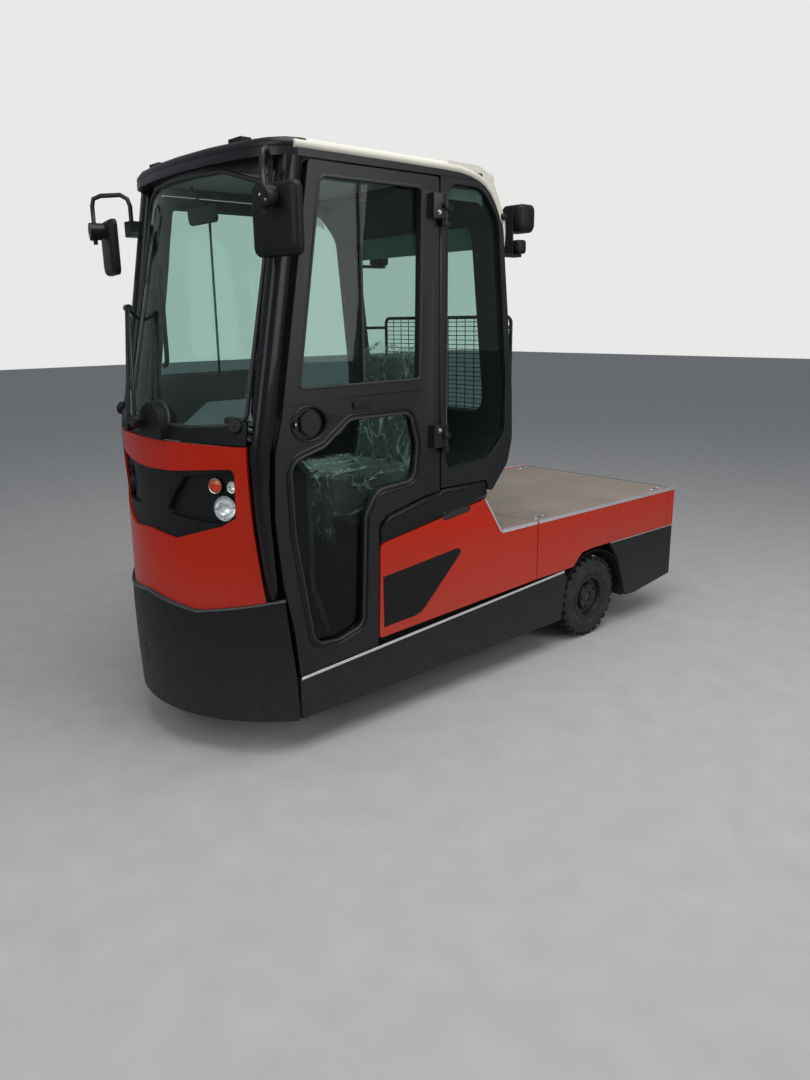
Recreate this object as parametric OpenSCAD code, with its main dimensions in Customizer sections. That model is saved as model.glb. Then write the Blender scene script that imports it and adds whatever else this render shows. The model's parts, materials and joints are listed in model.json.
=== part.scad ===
// Airport baggage tug: a three-wheeled electric platform tractor with a closed cab.
// X runs forward, Y to the left and Z up. The origin is on the ground at mid length.
// Heights are from the ground. Lengths on the deck are from the rear axle, and lengths on
// the cab and the nose are from a datum that lies a fixed distance behind the front axle.

/* [Body] */
// Width over the side panels
body_w = 1080; // [1000:10:1160]
// Rear axle to the rear end plate
deck_overhang = 712; // [640:4:760]
// Rear axle to the steered front wheel's axle
wheelbase = 1800; // [1780:5:1840]
// Door's front edge to the foremost point of the bumper
nose_depth = 244; // [236:2:260]
// Thickness of a side panel
panel_t = 30; // [24:1:34]
// Thickness of a nose shell
shell_t = 12; // [8:1:16]
// Gap between neighbouring panels
seam = 5; // [4:0.5:7]
// Ground to the lower edge of the skirts
skirt_z = 140; // [120:5:160]
// Height of the sill line under the door's front edge
sill_front_z = 305; // [290:5:320]
// Rise of the sill line for each millimetre towards the rear
sill_slope = 0.06; // [0.04:0.005:0.07]
// Top of the load deck
deck_z = 676; // [650:2:700]
// Thickness of the deck boards
deck_t = 21; // [15:1:27]
// Seam between the middle and rear side panels
split_x = 445; // [420:5:480]
// Length of the battery hood, from its slanted foot to the door
hood_l = 710; // [690:2:720]

/* [Cab] */
// Underside of the roof frame, above the door
door_top_z = 2100; // [2060:5:2160]
// Height of the roof frame
roof_frame_h = 26; // [20:1:34]
// Height of the roof panel above its frame
roof_h = 34; // [26:2:44]
// Front axle to the foremost point of the door
door_ahead = 64; // [56:1:72]
// Width of the door over its hinge axis
door_w = 798; // [790:1:806]
// Width of the door's lower leaf, ahead of the battery hood
leg_w = 461; // [450:1:470]
// Thickness of the door
door_t = 34; // [28:1:36]
// Gap round the door
door_gap = 8; // [6:0.5:10]
// Thickness of the fixed cab walls
wall_t = 38; // [30:1:44]
// Thickness of the window glass
glass_t = 5; // [4:0.5:7]
// Rake of the windscreen from upright
screen_rake = 13.25; // [12:0.25:14]
// Radius of the curved windscreen
screen_r = 990; // [950:10:1050]
// Height of the cab floor
floor_z = 330; // [320:2:345]
// Height of the lower edge of the windscreen
screen_low_z = 1232; // [1225:1:1245]

/* [Running gear] */
// Tyre diameter
tyre_d = 415; // [395:5:425]
// Tyre width
tyre_w = 110; // [95:5:120]
// Rim diameter over its flanges
rim_d = 232; // [215:1:245]
// Side panel's face to the middle of a rear wheel
wheel_inset = 70; // [65:1:75]
// Diameter of the rear axle tube
axle_tube_d = 130; // [110:5:140]
// Diameter of the wheel shafts
shaft_d = 50; // [40:1:60]

/* [Seat and controls] */
// Width of the driver's seat
seat_w = 470; // [440:10:500]
// Top of the seat cushion
seat_z = 965; // [940:5:990]
// Steering wheel diameter
hand_wheel_d = 360; // [320:10:400]

/* [Tow coupling] */
// Height of the coupling pin's throat
tow_z = 330; // [300:5:380]
// Diameter of the coupling pin
tow_pin_d = 25; // [20:1:32]

/* [Hidden] */
$fn = 48;
half = body_w / 2;
skin_y = half - panel_t;
front_axle_x = 1800;
cab_x = wheelbase - front_axle_x;
door_front_x = front_axle_x + door_ahead;
hinge_x = door_front_x - door_w;
panel_front_x = door_front_x - leg_w;
hood_foot_x = panel_front_x - hood_l;
nose_reach = door_front_x + nose_depth;
track = body_w - 2 * wheel_inset;
wheel_r = tyre_d / 2;
tow_jaw_r = 52;
tow_reach = 66;
tow_pin_x = -deck_overhang - tow_reach;
mid_x = (cab_x + nose_reach + tow_pin_x - tow_jaw_r) / 2;
roof_z = door_top_z + roof_frame_h + roof_h;
run_gap = 6;
seat_gap = 0.3;
pin_gap = 0.3;
inner_y = half - door_t - run_gap;

body_red = "#b8341f";
dark = "#2c2d2f";
cream = "#d8d6cb";
grey = "#7d8083";
steel = "#9a9c9e";
board = "#857b6c";
rubber = "#1c1c1d";
tint = "#8fb5ad";
amber = "#e0762a";

// A rounded corner of an outline: before, corner, after and radius
function corner(p, a, q, r) = r <= 0 ? [a] :
    let (u = (p - a) / norm(p - a),
        v = (q - a) / norm(q - a),
        turn = acos(max(-1, min(1, u * v))),
        reach = r / tan(turn / 2),
        c = a + (u + v) / norm(u + v) * (r / sin(turn / 2)),
        s = a + u * reach - c,
        e = a + v * reach - c,
        a0 = atan2(s.y, s.x),
        sweep = ((atan2(e.y, e.x) - a0 + 540) % 360) - 180,
        n = max(2, ceil(abs(sweep) / 18)))
    [for (i = [0:n]) c + r * [cos(a0 + sweep * i / n), sin(a0 + sweep * i / n)]];

// An outline from rows of [x, z, corner radius]
function outline(rows) = let (n = len(rows))
    [for (i = [0:n - 1])
        let (p = rows[(i + n - 1) % n], a = rows[i], q = rows[(i + 1) % n])
        each corner([p.x, p.y], [a.x, a.y], [q.x, q.y], a[2])];

// Height of the sill line at a length
function sill_z(x) = sill_front_z + sill_slope * (door_front_x - 65 - x);

// These move a piece that is written from the rear axle, or from the cab's datum
module from_axle() translate([-mid_x, 0, 0]) children();
module from_datum() translate([cab_x - mid_x, 0, 0]) children();

// A flat plate in the side view, between two distances from the middle
module side_plate(rows, y0, y1)
    translate([0, y1, 0]) rotate([90, 0, 0]) linear_extrude(y1 - y0) polygon(outline(rows));

// A flat plate in the front view, rows of [y, z, radius], between two lengths
module front_plate(rows, x0, x1)
    translate([x0, 0, 0]) rotate([90, 0, 90]) linear_extrude(x1 - x0) polygon(outline(rows));

module both_sides() {
    children();
    mirror([0, 1, 0]) children();
}

// A box between two corners
module block(low, high) translate(low) cube(high - low);

// A rod between two points
module rod(a, b, d) {
    v = b - a;
    translate(a) rotate([0, acos(v.z / norm(v)), atan2(v.y, v.x)]) cylinder(h = norm(v), d = d);
}

// A closed tube through rings of equally many points
module tube(rings) {
    n = len(rings[0]);
    k = len(rings);
    polyhedron([for (r = rings) each r], concat(
        [[for (i = [0:n - 1]) i]],
        [for (j = [0:k - 2], i = [0:n - 1]) [j * n + i, (j + 1) * n + i, (j + 1) * n + (i + 1) % n,
            j * n + (i + 1) % n]],
        [[for (i = [n - 1:-1:0]) (k - 1) * n + i]]));
}

// Ellipse in the side view
function ellipse(a, b, n = 48) = [for (i = [0:n - 1]) [a * cos(360 * i / n), b * sin(360 * i / n)]];

// A bent round bar swept along a list of points, with one ring square to each bend
module bent_rod(path, d, n = 12) {
    k = len(path) - 1;
    tube([for (i = [0:k])
        let (a = path[max(0, i - 1)], b = path[min(k, i + 1)],
            t = (b - a) / norm(b - a),
            u = cross(t, [0.8, 0.1, 0.2]) / norm(cross(t, [0.8, 0.1, 0.2])),
            v = cross(t, u))
        [for (j = [0:n - 1]) path[i] + d / 2 * (cos(360 * j / n) * u + sin(360 * j / n) * v)]]);
}

// A curved nose shell from rows of [height, middle x, side x]. Every row is an arc in plan,
// and top and bottom follow their own lines across the width.
// The tables of low and high edges are rows of [distance from the middle, height].
function row_at(rows, z, k) = lookup(z, [for (r = rows) [r[0], r[k]]]);
function plan_r(rows, z, side) = let (s = row_at(rows, z, 1) - row_at(rows, z, 2))
    (side * side + s * s) / (2 * s);
function shell_point(rows, z, y, side, t) =
    let (r = plan_r(rows, z, side), a = asin(min(0.999, y / r)))
    [row_at(rows, z, 1) - r + (r - t) * cos(a), (r - t) * sin(a), z];
// Length at which a shell's face stands at a height and a distance from the middle
function shell_x(rows, z, y, side, t) = let (r = plan_r(rows, z, side))
    row_at(rows, z, 1) - r + sqrt((r - t) * (r - t) - y * y);
module nose_shell(rows, side, width, low, high, t, levels, n = 28) {
    ys = [for (j = [0:n]) width * sin(90 * (2 * j / n - 1))];
    grid = [for (wall = [0, t], i = [0:levels], j = [0:n])
        let (z0 = lookup(abs(ys[j]), low), z1 = lookup(abs(ys[j]), high))
        shell_point(rows, z0 + (z1 - z0) * i / levels, ys[j], side, wall)];
    m = n + 1;
    k = (levels + 1) * m;
    function at(w, i, j) = w * k + i * m + j;
    polyhedron(grid, [
        for (i = [0:levels - 1], j = [0:n - 1]) each [
            [at(0, i, j), at(0, i + 1, j), at(0, i + 1, j + 1), at(0, i, j + 1)],
            [at(1, i, j), at(1, i, j + 1), at(1, i + 1, j + 1), at(1, i + 1, j)]],
        for (j = [0:n - 1]) each [
            [at(0, 0, j), at(0, 0, j + 1), at(1, 0, j + 1), at(1, 0, j)],
            [at(0, levels, j), at(1, levels, j), at(1, levels, j + 1), at(0, levels, j + 1)]],
        for (i = [0:levels - 1]) each [
            [at(0, i, 0), at(1, i, 0), at(1, i + 1, 0), at(0, i + 1, 0)],
            [at(0, i, n), at(0, i + 1, n), at(1, i + 1, n), at(1, i, n)]]]);
}

// Nose sections: height, x at the middle and x at the side plane or hood edge
hood_edge_y = half - 46;
bumper_rows = [
    [skirt_z, nose_reach - 8, door_front_x - 66],
    [317, nose_reach - 1, door_front_x - 64],
    [473, nose_reach, door_front_x - 42],
    [620, nose_reach - 8, door_front_x - 26]];
hood_rows = [
    [550, nose_reach - 16, door_front_x + 12],
    [600, nose_reach - 17, door_front_x + 21],
    [740, nose_reach - 27, door_front_x + 42],
    [925, nose_reach - 45, door_front_x + 63],
    [1065, nose_reach - 56, door_front_x + 69],
    [1178, nose_reach - 58, door_front_x + 70],
    [1300, nose_reach - 62, door_front_x + 54]];
bumper_low = [[0, skirt_z], [half, skirt_z]];
bumper_high = [[0, 595], [half / 2, 562], [half - 120, 590], [half, 618]];
hood_low = [for (r = bumper_high) [r.x, r.y + seam]];
hood_top_z = 1174;
hood_high = [[0, hood_top_z], [half, hood_top_z]];
cowl_high = [[0, screen_low_z + 6], [half - 280, screen_low_z - 4], [half - 140, screen_low_z + 6],
    [half, screen_low_z + 40]];

// Two rows of mounting holes stand on one side of the middle
bumper_holes = [[-242, 341], [-242, 285], [-242, 225], [-69, 352], [-69, 290], [-69, 226]];
bumper_hole_d = 14;
module front_bumper() color(dark) from_datum() difference() {
    nose_shell(bumper_rows, half, half, bumper_low, bumper_high, shell_t, 6, 36);
    for (h = bumper_holes) translate([nose_reach - 80, h.x, h.y]) rotate([0, 90, 0])
        cylinder(h = 120, d = bumper_hole_d);
}

// Outline of the dark insert in the hood: half of it, mirrored
insert_half = [[0, 1063, 0], [half - 390, 1068, 60], [half - 92, 1098, 22], [half - 100, 925, 14],
    [half - 152, 892, 20], [half - 372, 822, 20], [0, 836, 0]];
function mirrored(rows) = concat(rows,
    [for (i = [len(rows) - 2:-1:1]) [-rows[i].x, rows[i].y, rows[i][2]]]);
function grown(rows, g) = [for (r = rows)
    [r.x + g * sign(r.x), r.y + (r.y > 950 ? g : -g), r[2]]];

module nose_hood() color(body_red) from_datum() difference() {
    nose_shell(hood_rows, hood_edge_y, hood_edge_y, hood_low, hood_high, shell_t, 6);
    front_plate(mirrored(insert_half), door_front_x, nose_reach + 50);
}

// Lamps in each side of the insert, at the bottom of a pocket: across, height and diameter
lamp_rows = [[half - 160, 952, 92], [half - 196, 1029, 56], [half - 126, 1030, 44]];
lamp_depth = 60;
insert_sink = 10;
pocket_deep = 22;
pocket_lip = 6;
pocket_rows = [[half - 330, 1052, 20], [half - 106, 1086, 16], [half - 108, 934, 14], [half - 170, 898, 24],
    [half - 250, 896, 60], [half - 436, 908, 20], [half - 402, 968, 40]];
module pocket(g, x0, x1) front_plate([for (r = pocket_rows)
    [r.x + (r.x > half - 200 ? g : -g), r.y + (r.y > 980 ? g : -g), r[2]]], x0, x1);
module grille_insert() color(dark) from_datum() difference() {
    translate([-insert_sink, 0, 0]) intersection() {
        difference() {
            union() {
                nose_shell(hood_rows, hood_edge_y, hood_edge_y, hood_low, hood_high, shell_t, 6);
                both_sides() intersection() {
                    translate([-pocket_lip, 0, 0])
                        nose_shell(hood_rows, hood_edge_y, hood_edge_y, hood_low, hood_high, pocket_deep + 6, 6);
                    pocket(shell_t - 4, door_front_x - 60, nose_reach);
                }
            }
            both_sides() intersection() {
                translate([pocket_lip, 0, 0])
                    nose_shell(hood_rows, hood_edge_y, hood_edge_y, hood_low, hood_high, pocket_deep + pocket_lip, 6);
                pocket(0, door_front_x - 60, nose_reach + pocket_lip);
            }
        }
        front_plate(mirrored(grown(insert_half, -seat_gap)), door_front_x - 40, nose_reach);
    }
    both_sides() for (l = lamp_rows)
        translate([lamp_x(l) - 200, l[0], l[1]]) rotate([0, 90, 0]) cylinder(h = 400, d = l[2]);
}
function lamp_x(l) = shell_x(hood_rows, l[1], l[0], hood_edge_y, 0) - insert_sink - pocket_deep;

module front_lamps() from_datum() both_sides() for (l = lamp_rows)
    color(l[2] > 90 ? "white" : l[2] > 50 ? amber : "white")
        translate([lamp_x(l) - lamp_depth, l[0], l[1]]) rotate([0, 90, 0]) {
            cylinder(h = lamp_depth + 4, d = l[2] - 2 * seat_gap);
            translate([0, 0, lamp_depth + 4]) cylinder(h = 6, d1 = l[2] - 2 * seat_gap, d2 = l[2] * 0.7);
        }

// Dark band between hood and windscreen, with the hump of the wiper motor and two spindles
hump_d = 170;
hump_y = 60;
hump_z = screen_low_z - 10;
spindles = [[8, screen_low_z + 8], [-52, screen_low_z - 15]];
spindle_d = 22;
module cowl() color(dark) from_datum() difference() {
    union() {
        nose_shell(hood_rows, hood_edge_y, hood_edge_y, [[0, hood_top_z + seam], [half, hood_top_z + seam]],
            cowl_high, shell_t, 2);
        intersection() {
            translate([screen_x - 40, hump_y, hump_z]) rotate([0, 90, 0]) cylinder(h = 62, d = hump_d);
            block([screen_x - 40, hump_y - hump_d, hood_top_z + seam], [screen_x + 40, hump_y + hump_d, hump_z + hump_d]);
        }
    }
    for (p = spindles) translate([screen_x - 90, p.x, p.y]) rotate([0, 90, 0])
        cylinder(h = 200, d = spindle_d + 2 * seat_gap);
}

// The windscreen is a strip of a leaning cylinder. Its outline in the front view is rounded.
screen_x = door_front_x + 180;
glass_sink = 2;
screen_top_z = door_top_z - 22;
screen_rows = [[0, screen_low_z + 6 + seat_gap, 0], [half - 280, screen_low_z - 4 + seat_gap, 0],
    [half - 140, screen_low_z + 6 + seat_gap, 0], [half - 68, screen_low_z + 28, 30],
    [half - 88, screen_top_z - 60, 90], [half - 290, screen_top_z, 0], [0, screen_top_z, 0]];
module screen_shell(t0, t1) translate([screen_x, 0, screen_low_z]) rotate([0, -screen_rake, 0])
    translate([-screen_r, 0, -300]) difference() {
        cylinder(h = 1500, r = screen_r - t0, $fn = 360);
        translate([0, 0, -1]) cylinder(h = 1502, r = screen_r - t1, $fn = 360);
    }
module windscreen() color(tint, 0.4) from_datum() difference() {
    intersection() {
        screen_shell(glass_sink, glass_sink + glass_t);
        front_plate(mirrored(screen_rows), 1500, nose_reach + 20);
    }
    translate([screen_x - 60, hump_y, hump_z]) rotate([0, 90, 0]) cylinder(h = 100, d = hump_d + 2 * seat_gap);
}
// Length at which a point stands at a distance off the windscreen's face
function glass_x(y, z, off) = screen_x
    + (sqrt(pow(screen_r - glass_sink + off, 2) - y * y) - screen_r - (z - screen_low_z) * sin(screen_rake))
    / cos(screen_rake);

// Front seam of the door and the pillar ahead of it, rows of [height, door front x,
// pillar width, how far the pillar stands in from the side, its inner face]. It stands
// behind the bumper, then beside the hood's edge, and above the cowl it is wider.
pillar_foot_z = 500;
pillar_y = half - 74;
hood_side_y = hood_edge_y + seat_gap;
pillar_rows = [
    [pillar_foot_z, door_front_x - 52, 26, 40, pillar_y],
    [610, door_front_x - 27, 20, 40, pillar_y],
    [628, door_front_x - 24, 34, 20, hood_side_y],
    [700, door_front_x - 12, 38, 2, hood_side_y],
    [760, door_front_x - 5, 40, 0, hood_side_y],
    [918, door_front_x, 52, 0, hood_side_y],
    [1027, door_front_x - 1, 58, 0, hood_side_y],
    [1156, door_front_x - 13, 72, 0, hood_side_y],
    [1261, door_front_x - 47, 86, 0, hood_side_y],
    [1290, door_front_x - 52, 86, 0, pillar_y],
    [door_top_z - 416, door_front_x - 123, 82, 0, pillar_y],
    [door_top_z, door_front_x - 196, 78, 0, pillar_y]];
function pillar_ring(r, n = 14) = [for (i = [0:n - 1])
    let (a = 360 * i / n, c = cos(a), s = sin(a), w = r[2] / 2, d = (half - r[3] - r[4]) / 2)
    [r[1] + door_gap / 2 + w + w * sign(c) * pow(abs(c), 0.7),
        r[4] + d + d * sign(s) * pow(abs(s), 0.7), r[0]]];
// Each carries the bracket of a mirror, with a socket for its arm
mirror_x = door_front_x - 64;
mirror_z = door_top_z - 145;
arm_d = 18;
module pillars() color(dark) from_datum() both_sides() {
    tube([for (r = pillar_rows) pillar_ring(r)]);
    difference() {
        block([mirror_x - 40, half - 52, mirror_z - 30], [mirror_x + 22, half + 6, mirror_z + 30]);
        translate([mirror_x, half - 16, mirror_z - 15]) cylinder(h = 60, d = arm_d + 2 * seat_gap);
    }
}

// The roof frame runs round under the roof panel: [y, x] in plan, drawn in by a distance
roof_front_x = door_front_x - 14;
roof_rear_x = hood_foot_x + 150;
roof_plan = [[0, roof_front_x], [half - 340, roof_front_x - 8], [half - 160, roof_front_x - 34],
    [half - 62, roof_front_x - 66], [half - 14, roof_front_x - 104], [half, roof_front_x - 146]];
function roof_ring(g, z, back = 0) = let (k = (half - g) / half,
    rows = concat([for (r = roof_plan) [r.x * k, r.y - g]], [[half - g, roof_rear_x + back]]))
    [for (p = concat(rows, [for (i = [len(rows) - 1:-1:1]) [-rows[i].x, rows[i].y]])) [p.y, p.x, z]];
module roof_slab(g, z0, z1) translate([0, 0, z0]) linear_extrude(z1 - z0)
    polygon([for (p = roof_ring(g, 0)) [p.x, p.y]]);
header_rows = [[0, screen_top_z + seat_gap, 0], [half - 290, screen_top_z + seat_gap, 0],
    [half - 120, screen_top_z - 30, 0], [half - 100, screen_top_z - 10, 0], [half - 94, door_top_z + 1, 0],
    [0, door_top_z + 1, 0]];
frame_in = 70;
// The roof rises from its rounded edge to a crown: distance in from the edge and height
crown = [[3, -1], [0, 8], [2, 20], [10, 30], [26, roof_h], [70, roof_h + 9], [140, roof_h + 16], [230, roof_h + 20]];
roof_low_z = door_top_z + roof_frame_h;
module roof_crown() tube([for (c = crown) roof_ring(c[0], roof_low_z + c[1], c[0])]);
// Ahead of this line the roof is the frame's dark brow, with a post over each pillar
brow_x = roof_front_x - 118;
post_x = roof_front_x - 186;
module brow_zone(g) translate([0, 0, roof_low_z - 5]) linear_extrude(200) polygon([
    [roof_front_x + 50, -half - 50], [roof_front_x + 50, half + 50], [post_x + g, half + 50], [post_x + g, half - 78],
    [brow_x + g, half - 120], [brow_x + g, 120 - half], [post_x + g, 78 - half], [post_x + g, -half - 50]]);
module roof_frame() color(dark) from_datum() {
    difference() {
        roof_slab(0, door_top_z, roof_low_z);
        intersection() {
            roof_slab(frame_in, door_top_z - 1, roof_low_z + 1);
            block([roof_rear_x + frame_in, -half, door_top_z - 1], [brow_x, half, roof_low_z + 1]);
        }
    }
    intersection() {
        roof_crown();
        brow_zone(0);
    }
    intersection() {
        screen_shell(glass_sink, glass_sink + shell_t);
        front_plate(mirrored(header_rows), door_front_x - 364, nose_reach);
    }
}
// Behind, the panel wraps down over the rear wall to a thin edge
wrap_rows = [[hood_foot_x + 330, roof_low_z + 30, 0], [hood_foot_x + 112, roof_low_z + 26, 130],
    [hood_foot_x + 8, door_top_z - 140, 150], [hood_foot_x + 15, door_top_z - 236, 0],
    [hood_foot_x + 28 - seat_gap, door_top_z - 133, 160], [hood_foot_x + 122 - seat_gap, door_top_z + seat_gap, 0],
    [roof_rear_x - seat_gap, door_top_z + seat_gap, 0], [roof_rear_x - seat_gap, roof_low_z, 0],
    [hood_foot_x + 330, roof_low_z, 0]];
// The middle of the panel reaches further back, to a thick rounded end
tail = [[26, -18], [8, -13], [0, -2], [0, 26], [5, 44], [18, 54], [44, 60]];
tail_w = half - 145;
tail_x = hood_foot_x - 108;
module roof_panel() color(cream) from_datum() difference() {
    union() {
        roof_crown();
        side_plate(wrap_rows, -half + 1, half - 1);
        tube([for (r = tail) [for (p = outline([[tail_x + r[0], tail_w - r[0], 60], [tail_x + r[0], r[0] - tail_w, 60],
            [hood_foot_x + 600 - r[0], r[0] - tail_w, 60], [hood_foot_x + 600 - r[0], tail_w - r[0], 60]]))
            [p.x, p.y, roof_low_z + r[1]]]]);
    }
    brow_zone(-seat_gap);
    block([roof_rear_x - seat_gap, -half, door_top_z], [roof_front_x, half, roof_low_z]);
}
module roof_markers() color(dark) from_datum() both_sides() difference() {
    translate([roof_front_x - 80, half - 240, roof_low_z + roof_h + 6]) cube([44, 80, 24], center = true);
    translate([0, 0, seat_gap]) roof_crown();
}

// Fixed cab side behind the door, with the quarter window
cover_top_z = 916;
side_rows = [[hinge_x, cover_top_z + seam, 0], [hinge_x, door_top_z - seat_gap, 0],
    [hood_foot_x + 122, door_top_z - seat_gap, 60], [hood_foot_x + 28, door_top_z - 133, 160],
    [hood_foot_x - 47, 1292, 300], [hood_foot_x - 54, 1085, 100], [hood_foot_x - 28, 980, 70],
    [hood_foot_x + 84, 852, 20], [hood_foot_x + 105, cover_top_z + seam, 10]];
quarter_rows = [[hinge_x - 32, door_top_z - 22, 60], [hood_foot_x + 150, door_top_z - 26, 90],
    [hood_foot_x + 53, door_top_z - 134, 130], [hood_foot_x - 5, 1343, 200], [hood_foot_x - 3, 1110, 60],
    [hood_foot_x + 85, 1020, 60], [hinge_x - 26, 985, 50]];
module cab_side() difference() {
    side_plate(side_rows, half - wall_t, half);
    side_plate(quarter_rows, half - wall_t - 1, half + 1);
}
module hinge_pins() for (z = hinge_zs) {
    translate([hinge_x, hinge_y, z - hinge_h / 2 - 22]) cylinder(h = 20, d = hinge_d);
    translate([hinge_x, hinge_y, z - hinge_h / 2 - 22]) cylinder(h = hinge_h + 20, d = hinge_pin_d);
    block([hinge_x - 44, half - 4, z - hinge_h / 2 - 22], [hinge_x, half + 5, z - hinge_h / 2 - 2]);
    block([hinge_x - 12, half - 1, z - hinge_h / 2 - 22], [hinge_x, hinge_y, z - hinge_h / 2 - 2]);
}
module cab_sides() color(dark) from_datum() both_sides() {
    cab_side();
    hinge_pins();
}

// Door hinges: heights of their middles, and where their pins stand
hinge_zs = [1138, door_top_z - 110];
hinge_y = half + 20;
hinge_h = 90;
hinge_d = 30;
hinge_pin_d = 14;

// Rear wall: a curved band in the side view, with a window
rear_foot = [[hood_foot_x, deck_z - deck_t, 0], [hood_foot_x, deck_z, 0]];
rear_back = [[hood_foot_x + 88, 853, 20], [hood_foot_x - 28, 980, 70], [hood_foot_x - 54, 1085, 100],
    [hood_foot_x - 47, 1292, 300], [hood_foot_x + 28, door_top_z - 133, 160],
    [hood_foot_x + 122, door_top_z - seat_gap, 0]];
inside_rise = [20, 18, 8, 0, -12, 0];
inside_r = [10, 30, 60, 260, 120, 0];
rear_inside = [for (i = [5:-1:0]) [rear_back[i].x + wall_t, rear_back[i].y + inside_rise[i], inside_r[i]]];
rear_rows = concat(rear_foot, rear_back, rear_inside, [[hood_foot_x + wall_t, deck_z - deck_t, 0]]);
wall_y = half - wall_t - seat_gap;
rear_window_y = half - 145;
rear_window = [[-rear_window_y, 1190, 60], [rear_window_y, 1190, 60], [rear_window_y, door_top_z - 140, 60],
    [-rear_window_y, door_top_z - 140, 60]];
module rear_wall() color(dark) from_datum() difference() {
    side_plate(rear_rows, -wall_y, wall_y);
    front_plate(rear_window, hood_foot_x - 93, hood_foot_x + 207);
}

// Quarter windows, and the rear window, a leaning pane that fits its opening
function rear_x(z) = lookup(z, [for (i = [2:4]) [rear_back[i].y, rear_back[i].x]]);
pane_zs = [1150, 1292, door_top_z - 134];
module cab_glass() color(tint, 0.4) from_datum() {
    both_sides() side_plate(quarter_rows, half - 12 - glass_t, half - 12);
    intersection() {
        front_plate([for (r = rear_window) [r.x - sign(r.x) * seat_gap, r.y + (r.y < 1200 ? seat_gap : -seat_gap),
            r[2]]], hood_foot_x - 93, hood_foot_x + 207);
        side_plate([for (z = pane_zs) [rear_x(z) + 16, z, 0],
            for (i = [2:-1:0]) [rear_x(pane_zs[i]) + 16 + glass_t, pane_zs[i], 0]], -wall_y, wall_y);
    }
}

// Wire guard behind the cab: one welded sheet of wires in a frame, on four stays
guard_x = hood_foot_x - 173;
guard_w = body_w - 220;
guard_low = 1095;
guard_high = 1600;
guard_bar = 16;
guard_wire = 4;
guard_cell = [60, 32];
module rear_guard() color(dark) from_datum() {
    w = guard_w - 2 * guard_bar;
    h = guard_high - guard_low - 2 * guard_bar;
    nx = floor(w / guard_cell.x);
    nz = floor(h / guard_cell.y);
    translate([guard_x, 0, guard_low]) rotate([90, 0, 90]) linear_extrude(guard_bar) difference() {
        translate([-guard_w / 2, 0]) square([guard_w, guard_high - guard_low]);
        translate([-w / 2, guard_bar]) square([w, h]);
    }
    translate([guard_x + 6, -w / 2, guard_low + guard_bar]) rotate([90, 0, 90]) linear_extrude(guard_wire)
        difference() {
            square([w, h]);
            for (i = [0:nx - 1], k = [0:nz - 1])
                translate([i * w / nx + guard_wire / 2, k * h / nz + guard_wire / 2])
                    square([w / nx - guard_wire, h / nz - guard_wire]);
        }
}

// Work lamps behind the cab, a large one over a small one: depth, width and height
tail_y = half - 95;
work_x = hood_foot_x - 163;
work_y = half - 92;
work_z = door_top_z - 110;
work_size = [92, 118, 112];
low_work_size = [54, 96, 56];
arm_z = door_top_z - 264;
arm_t = 12;
arm_w = 44;
lamp_plate_x = work_x + work_size.x / 2 + seat_gap;
module lamp_body(size, r) tube([for (f = [[0.5, 16], [0.4, 4], [0.1, 0], [-0.42, 0], [-0.5, 5]])
    [for (p = outline([[-size.y / 2 + f[1], -size.z / 2 + f[1], r], [-size.y / 2 + f[1], size.z / 2 - f[1], r],
        [size.y / 2 - f[1], size.z / 2 - f[1], r], [size.y / 2 - f[1], -size.z / 2 + f[1], r]]))
        [size.x * f[0], p.x, p.y]]]);
module rear_lamps() both_sides() {
    color(dark) from_datum() {
        translate([work_x, work_y, work_z]) lamp_body(work_size, 26);
        translate([lamp_plate_x - seat_gap - low_work_size.x / 2, work_y,
            arm_z + arm_t + seat_gap + low_work_size.z / 2]) lamp_body(low_work_size, 14);
    }
    color("darkred") from_axle()
        block([-deck_overhang - 14, tail_y - 60, deck_z - 136], [-deck_overhang - seat_gap, tail_y + 60, deck_z - 86]);
}

// Stays of the guard and arms of the work lamps, from the rear wall
module rear_brackets() color(dark) from_datum() both_sides() {
    for (z = [guard_low + 45, guard_high - 60])
        block([guard_x + guard_bar + seat_gap, guard_w / 2 - 16, z], [rear_x(z) - seat_gap, guard_w / 2, z + 14]);
    block([lamp_plate_x - low_work_size.x, work_y - arm_w / 2, arm_z],
        [rear_x(arm_z) - seat_gap, work_y + arm_w / 2, arm_z + arm_t]);
    block([lamp_plate_x, work_y - arm_w / 2, arm_z + arm_t - 1], [lamp_plate_x + 8, work_y + arm_w / 2, work_z + 30]);
}

// Middle side panels, under the deck and the cab, to the split
panel_low = 34;
// A grip slot is sunk where the red panel meets the cover
slot_deep = 12;
slot_rows = [[hinge_x - 4, 786, 8], [hinge_x - 20, 808, 10], [hood_foot_x + 224, 828, 8], [hood_foot_x + 192, 812, 8],
    [hood_foot_x + 212, 797, 8], [hinge_x - 34, 782, 8]];
module grip_slot() side_plate(slot_rows, half - slot_deep, half + 1);
module side_panels() color(body_red) from_axle() both_sides() difference() {
    side_plate([
        [cab_x + panel_front_x, sill_z(panel_front_x) + panel_low, 12], [cab_x + panel_front_x - 14, 745, 20],
        [cab_x + hood_foot_x + 107, 838, 12], [cab_x + hood_foot_x, deck_z, 0], [split_x + seam / 2, deck_z, 0],
        [split_x + seam / 2, sill_z(split_x - cab_x) + 14, 0]], skin_y, half);
    translate([cab_x, 0, 0]) grip_slot();
}

// Dark covers over them, with a raised lip
module side_covers() color(dark) from_datum() both_sides() difference() {
    side_plate([[panel_front_x - 14, 745 + seam, 0], [panel_front_x - 14, 800, 30], [panel_front_x - 51, 848, 60],
        [hinge_x + 84, 896, 60], [hinge_x + 10, cover_top_z - 12, 10], [hinge_x - 4, cover_top_z, 0],
        [hood_foot_x + 113, cover_top_z, 10], [hood_foot_x + 99, 862, 10], [hood_foot_x + 109, 838 + seam, 0]],
        skin_y, half);
    grip_slot();
}

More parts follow.
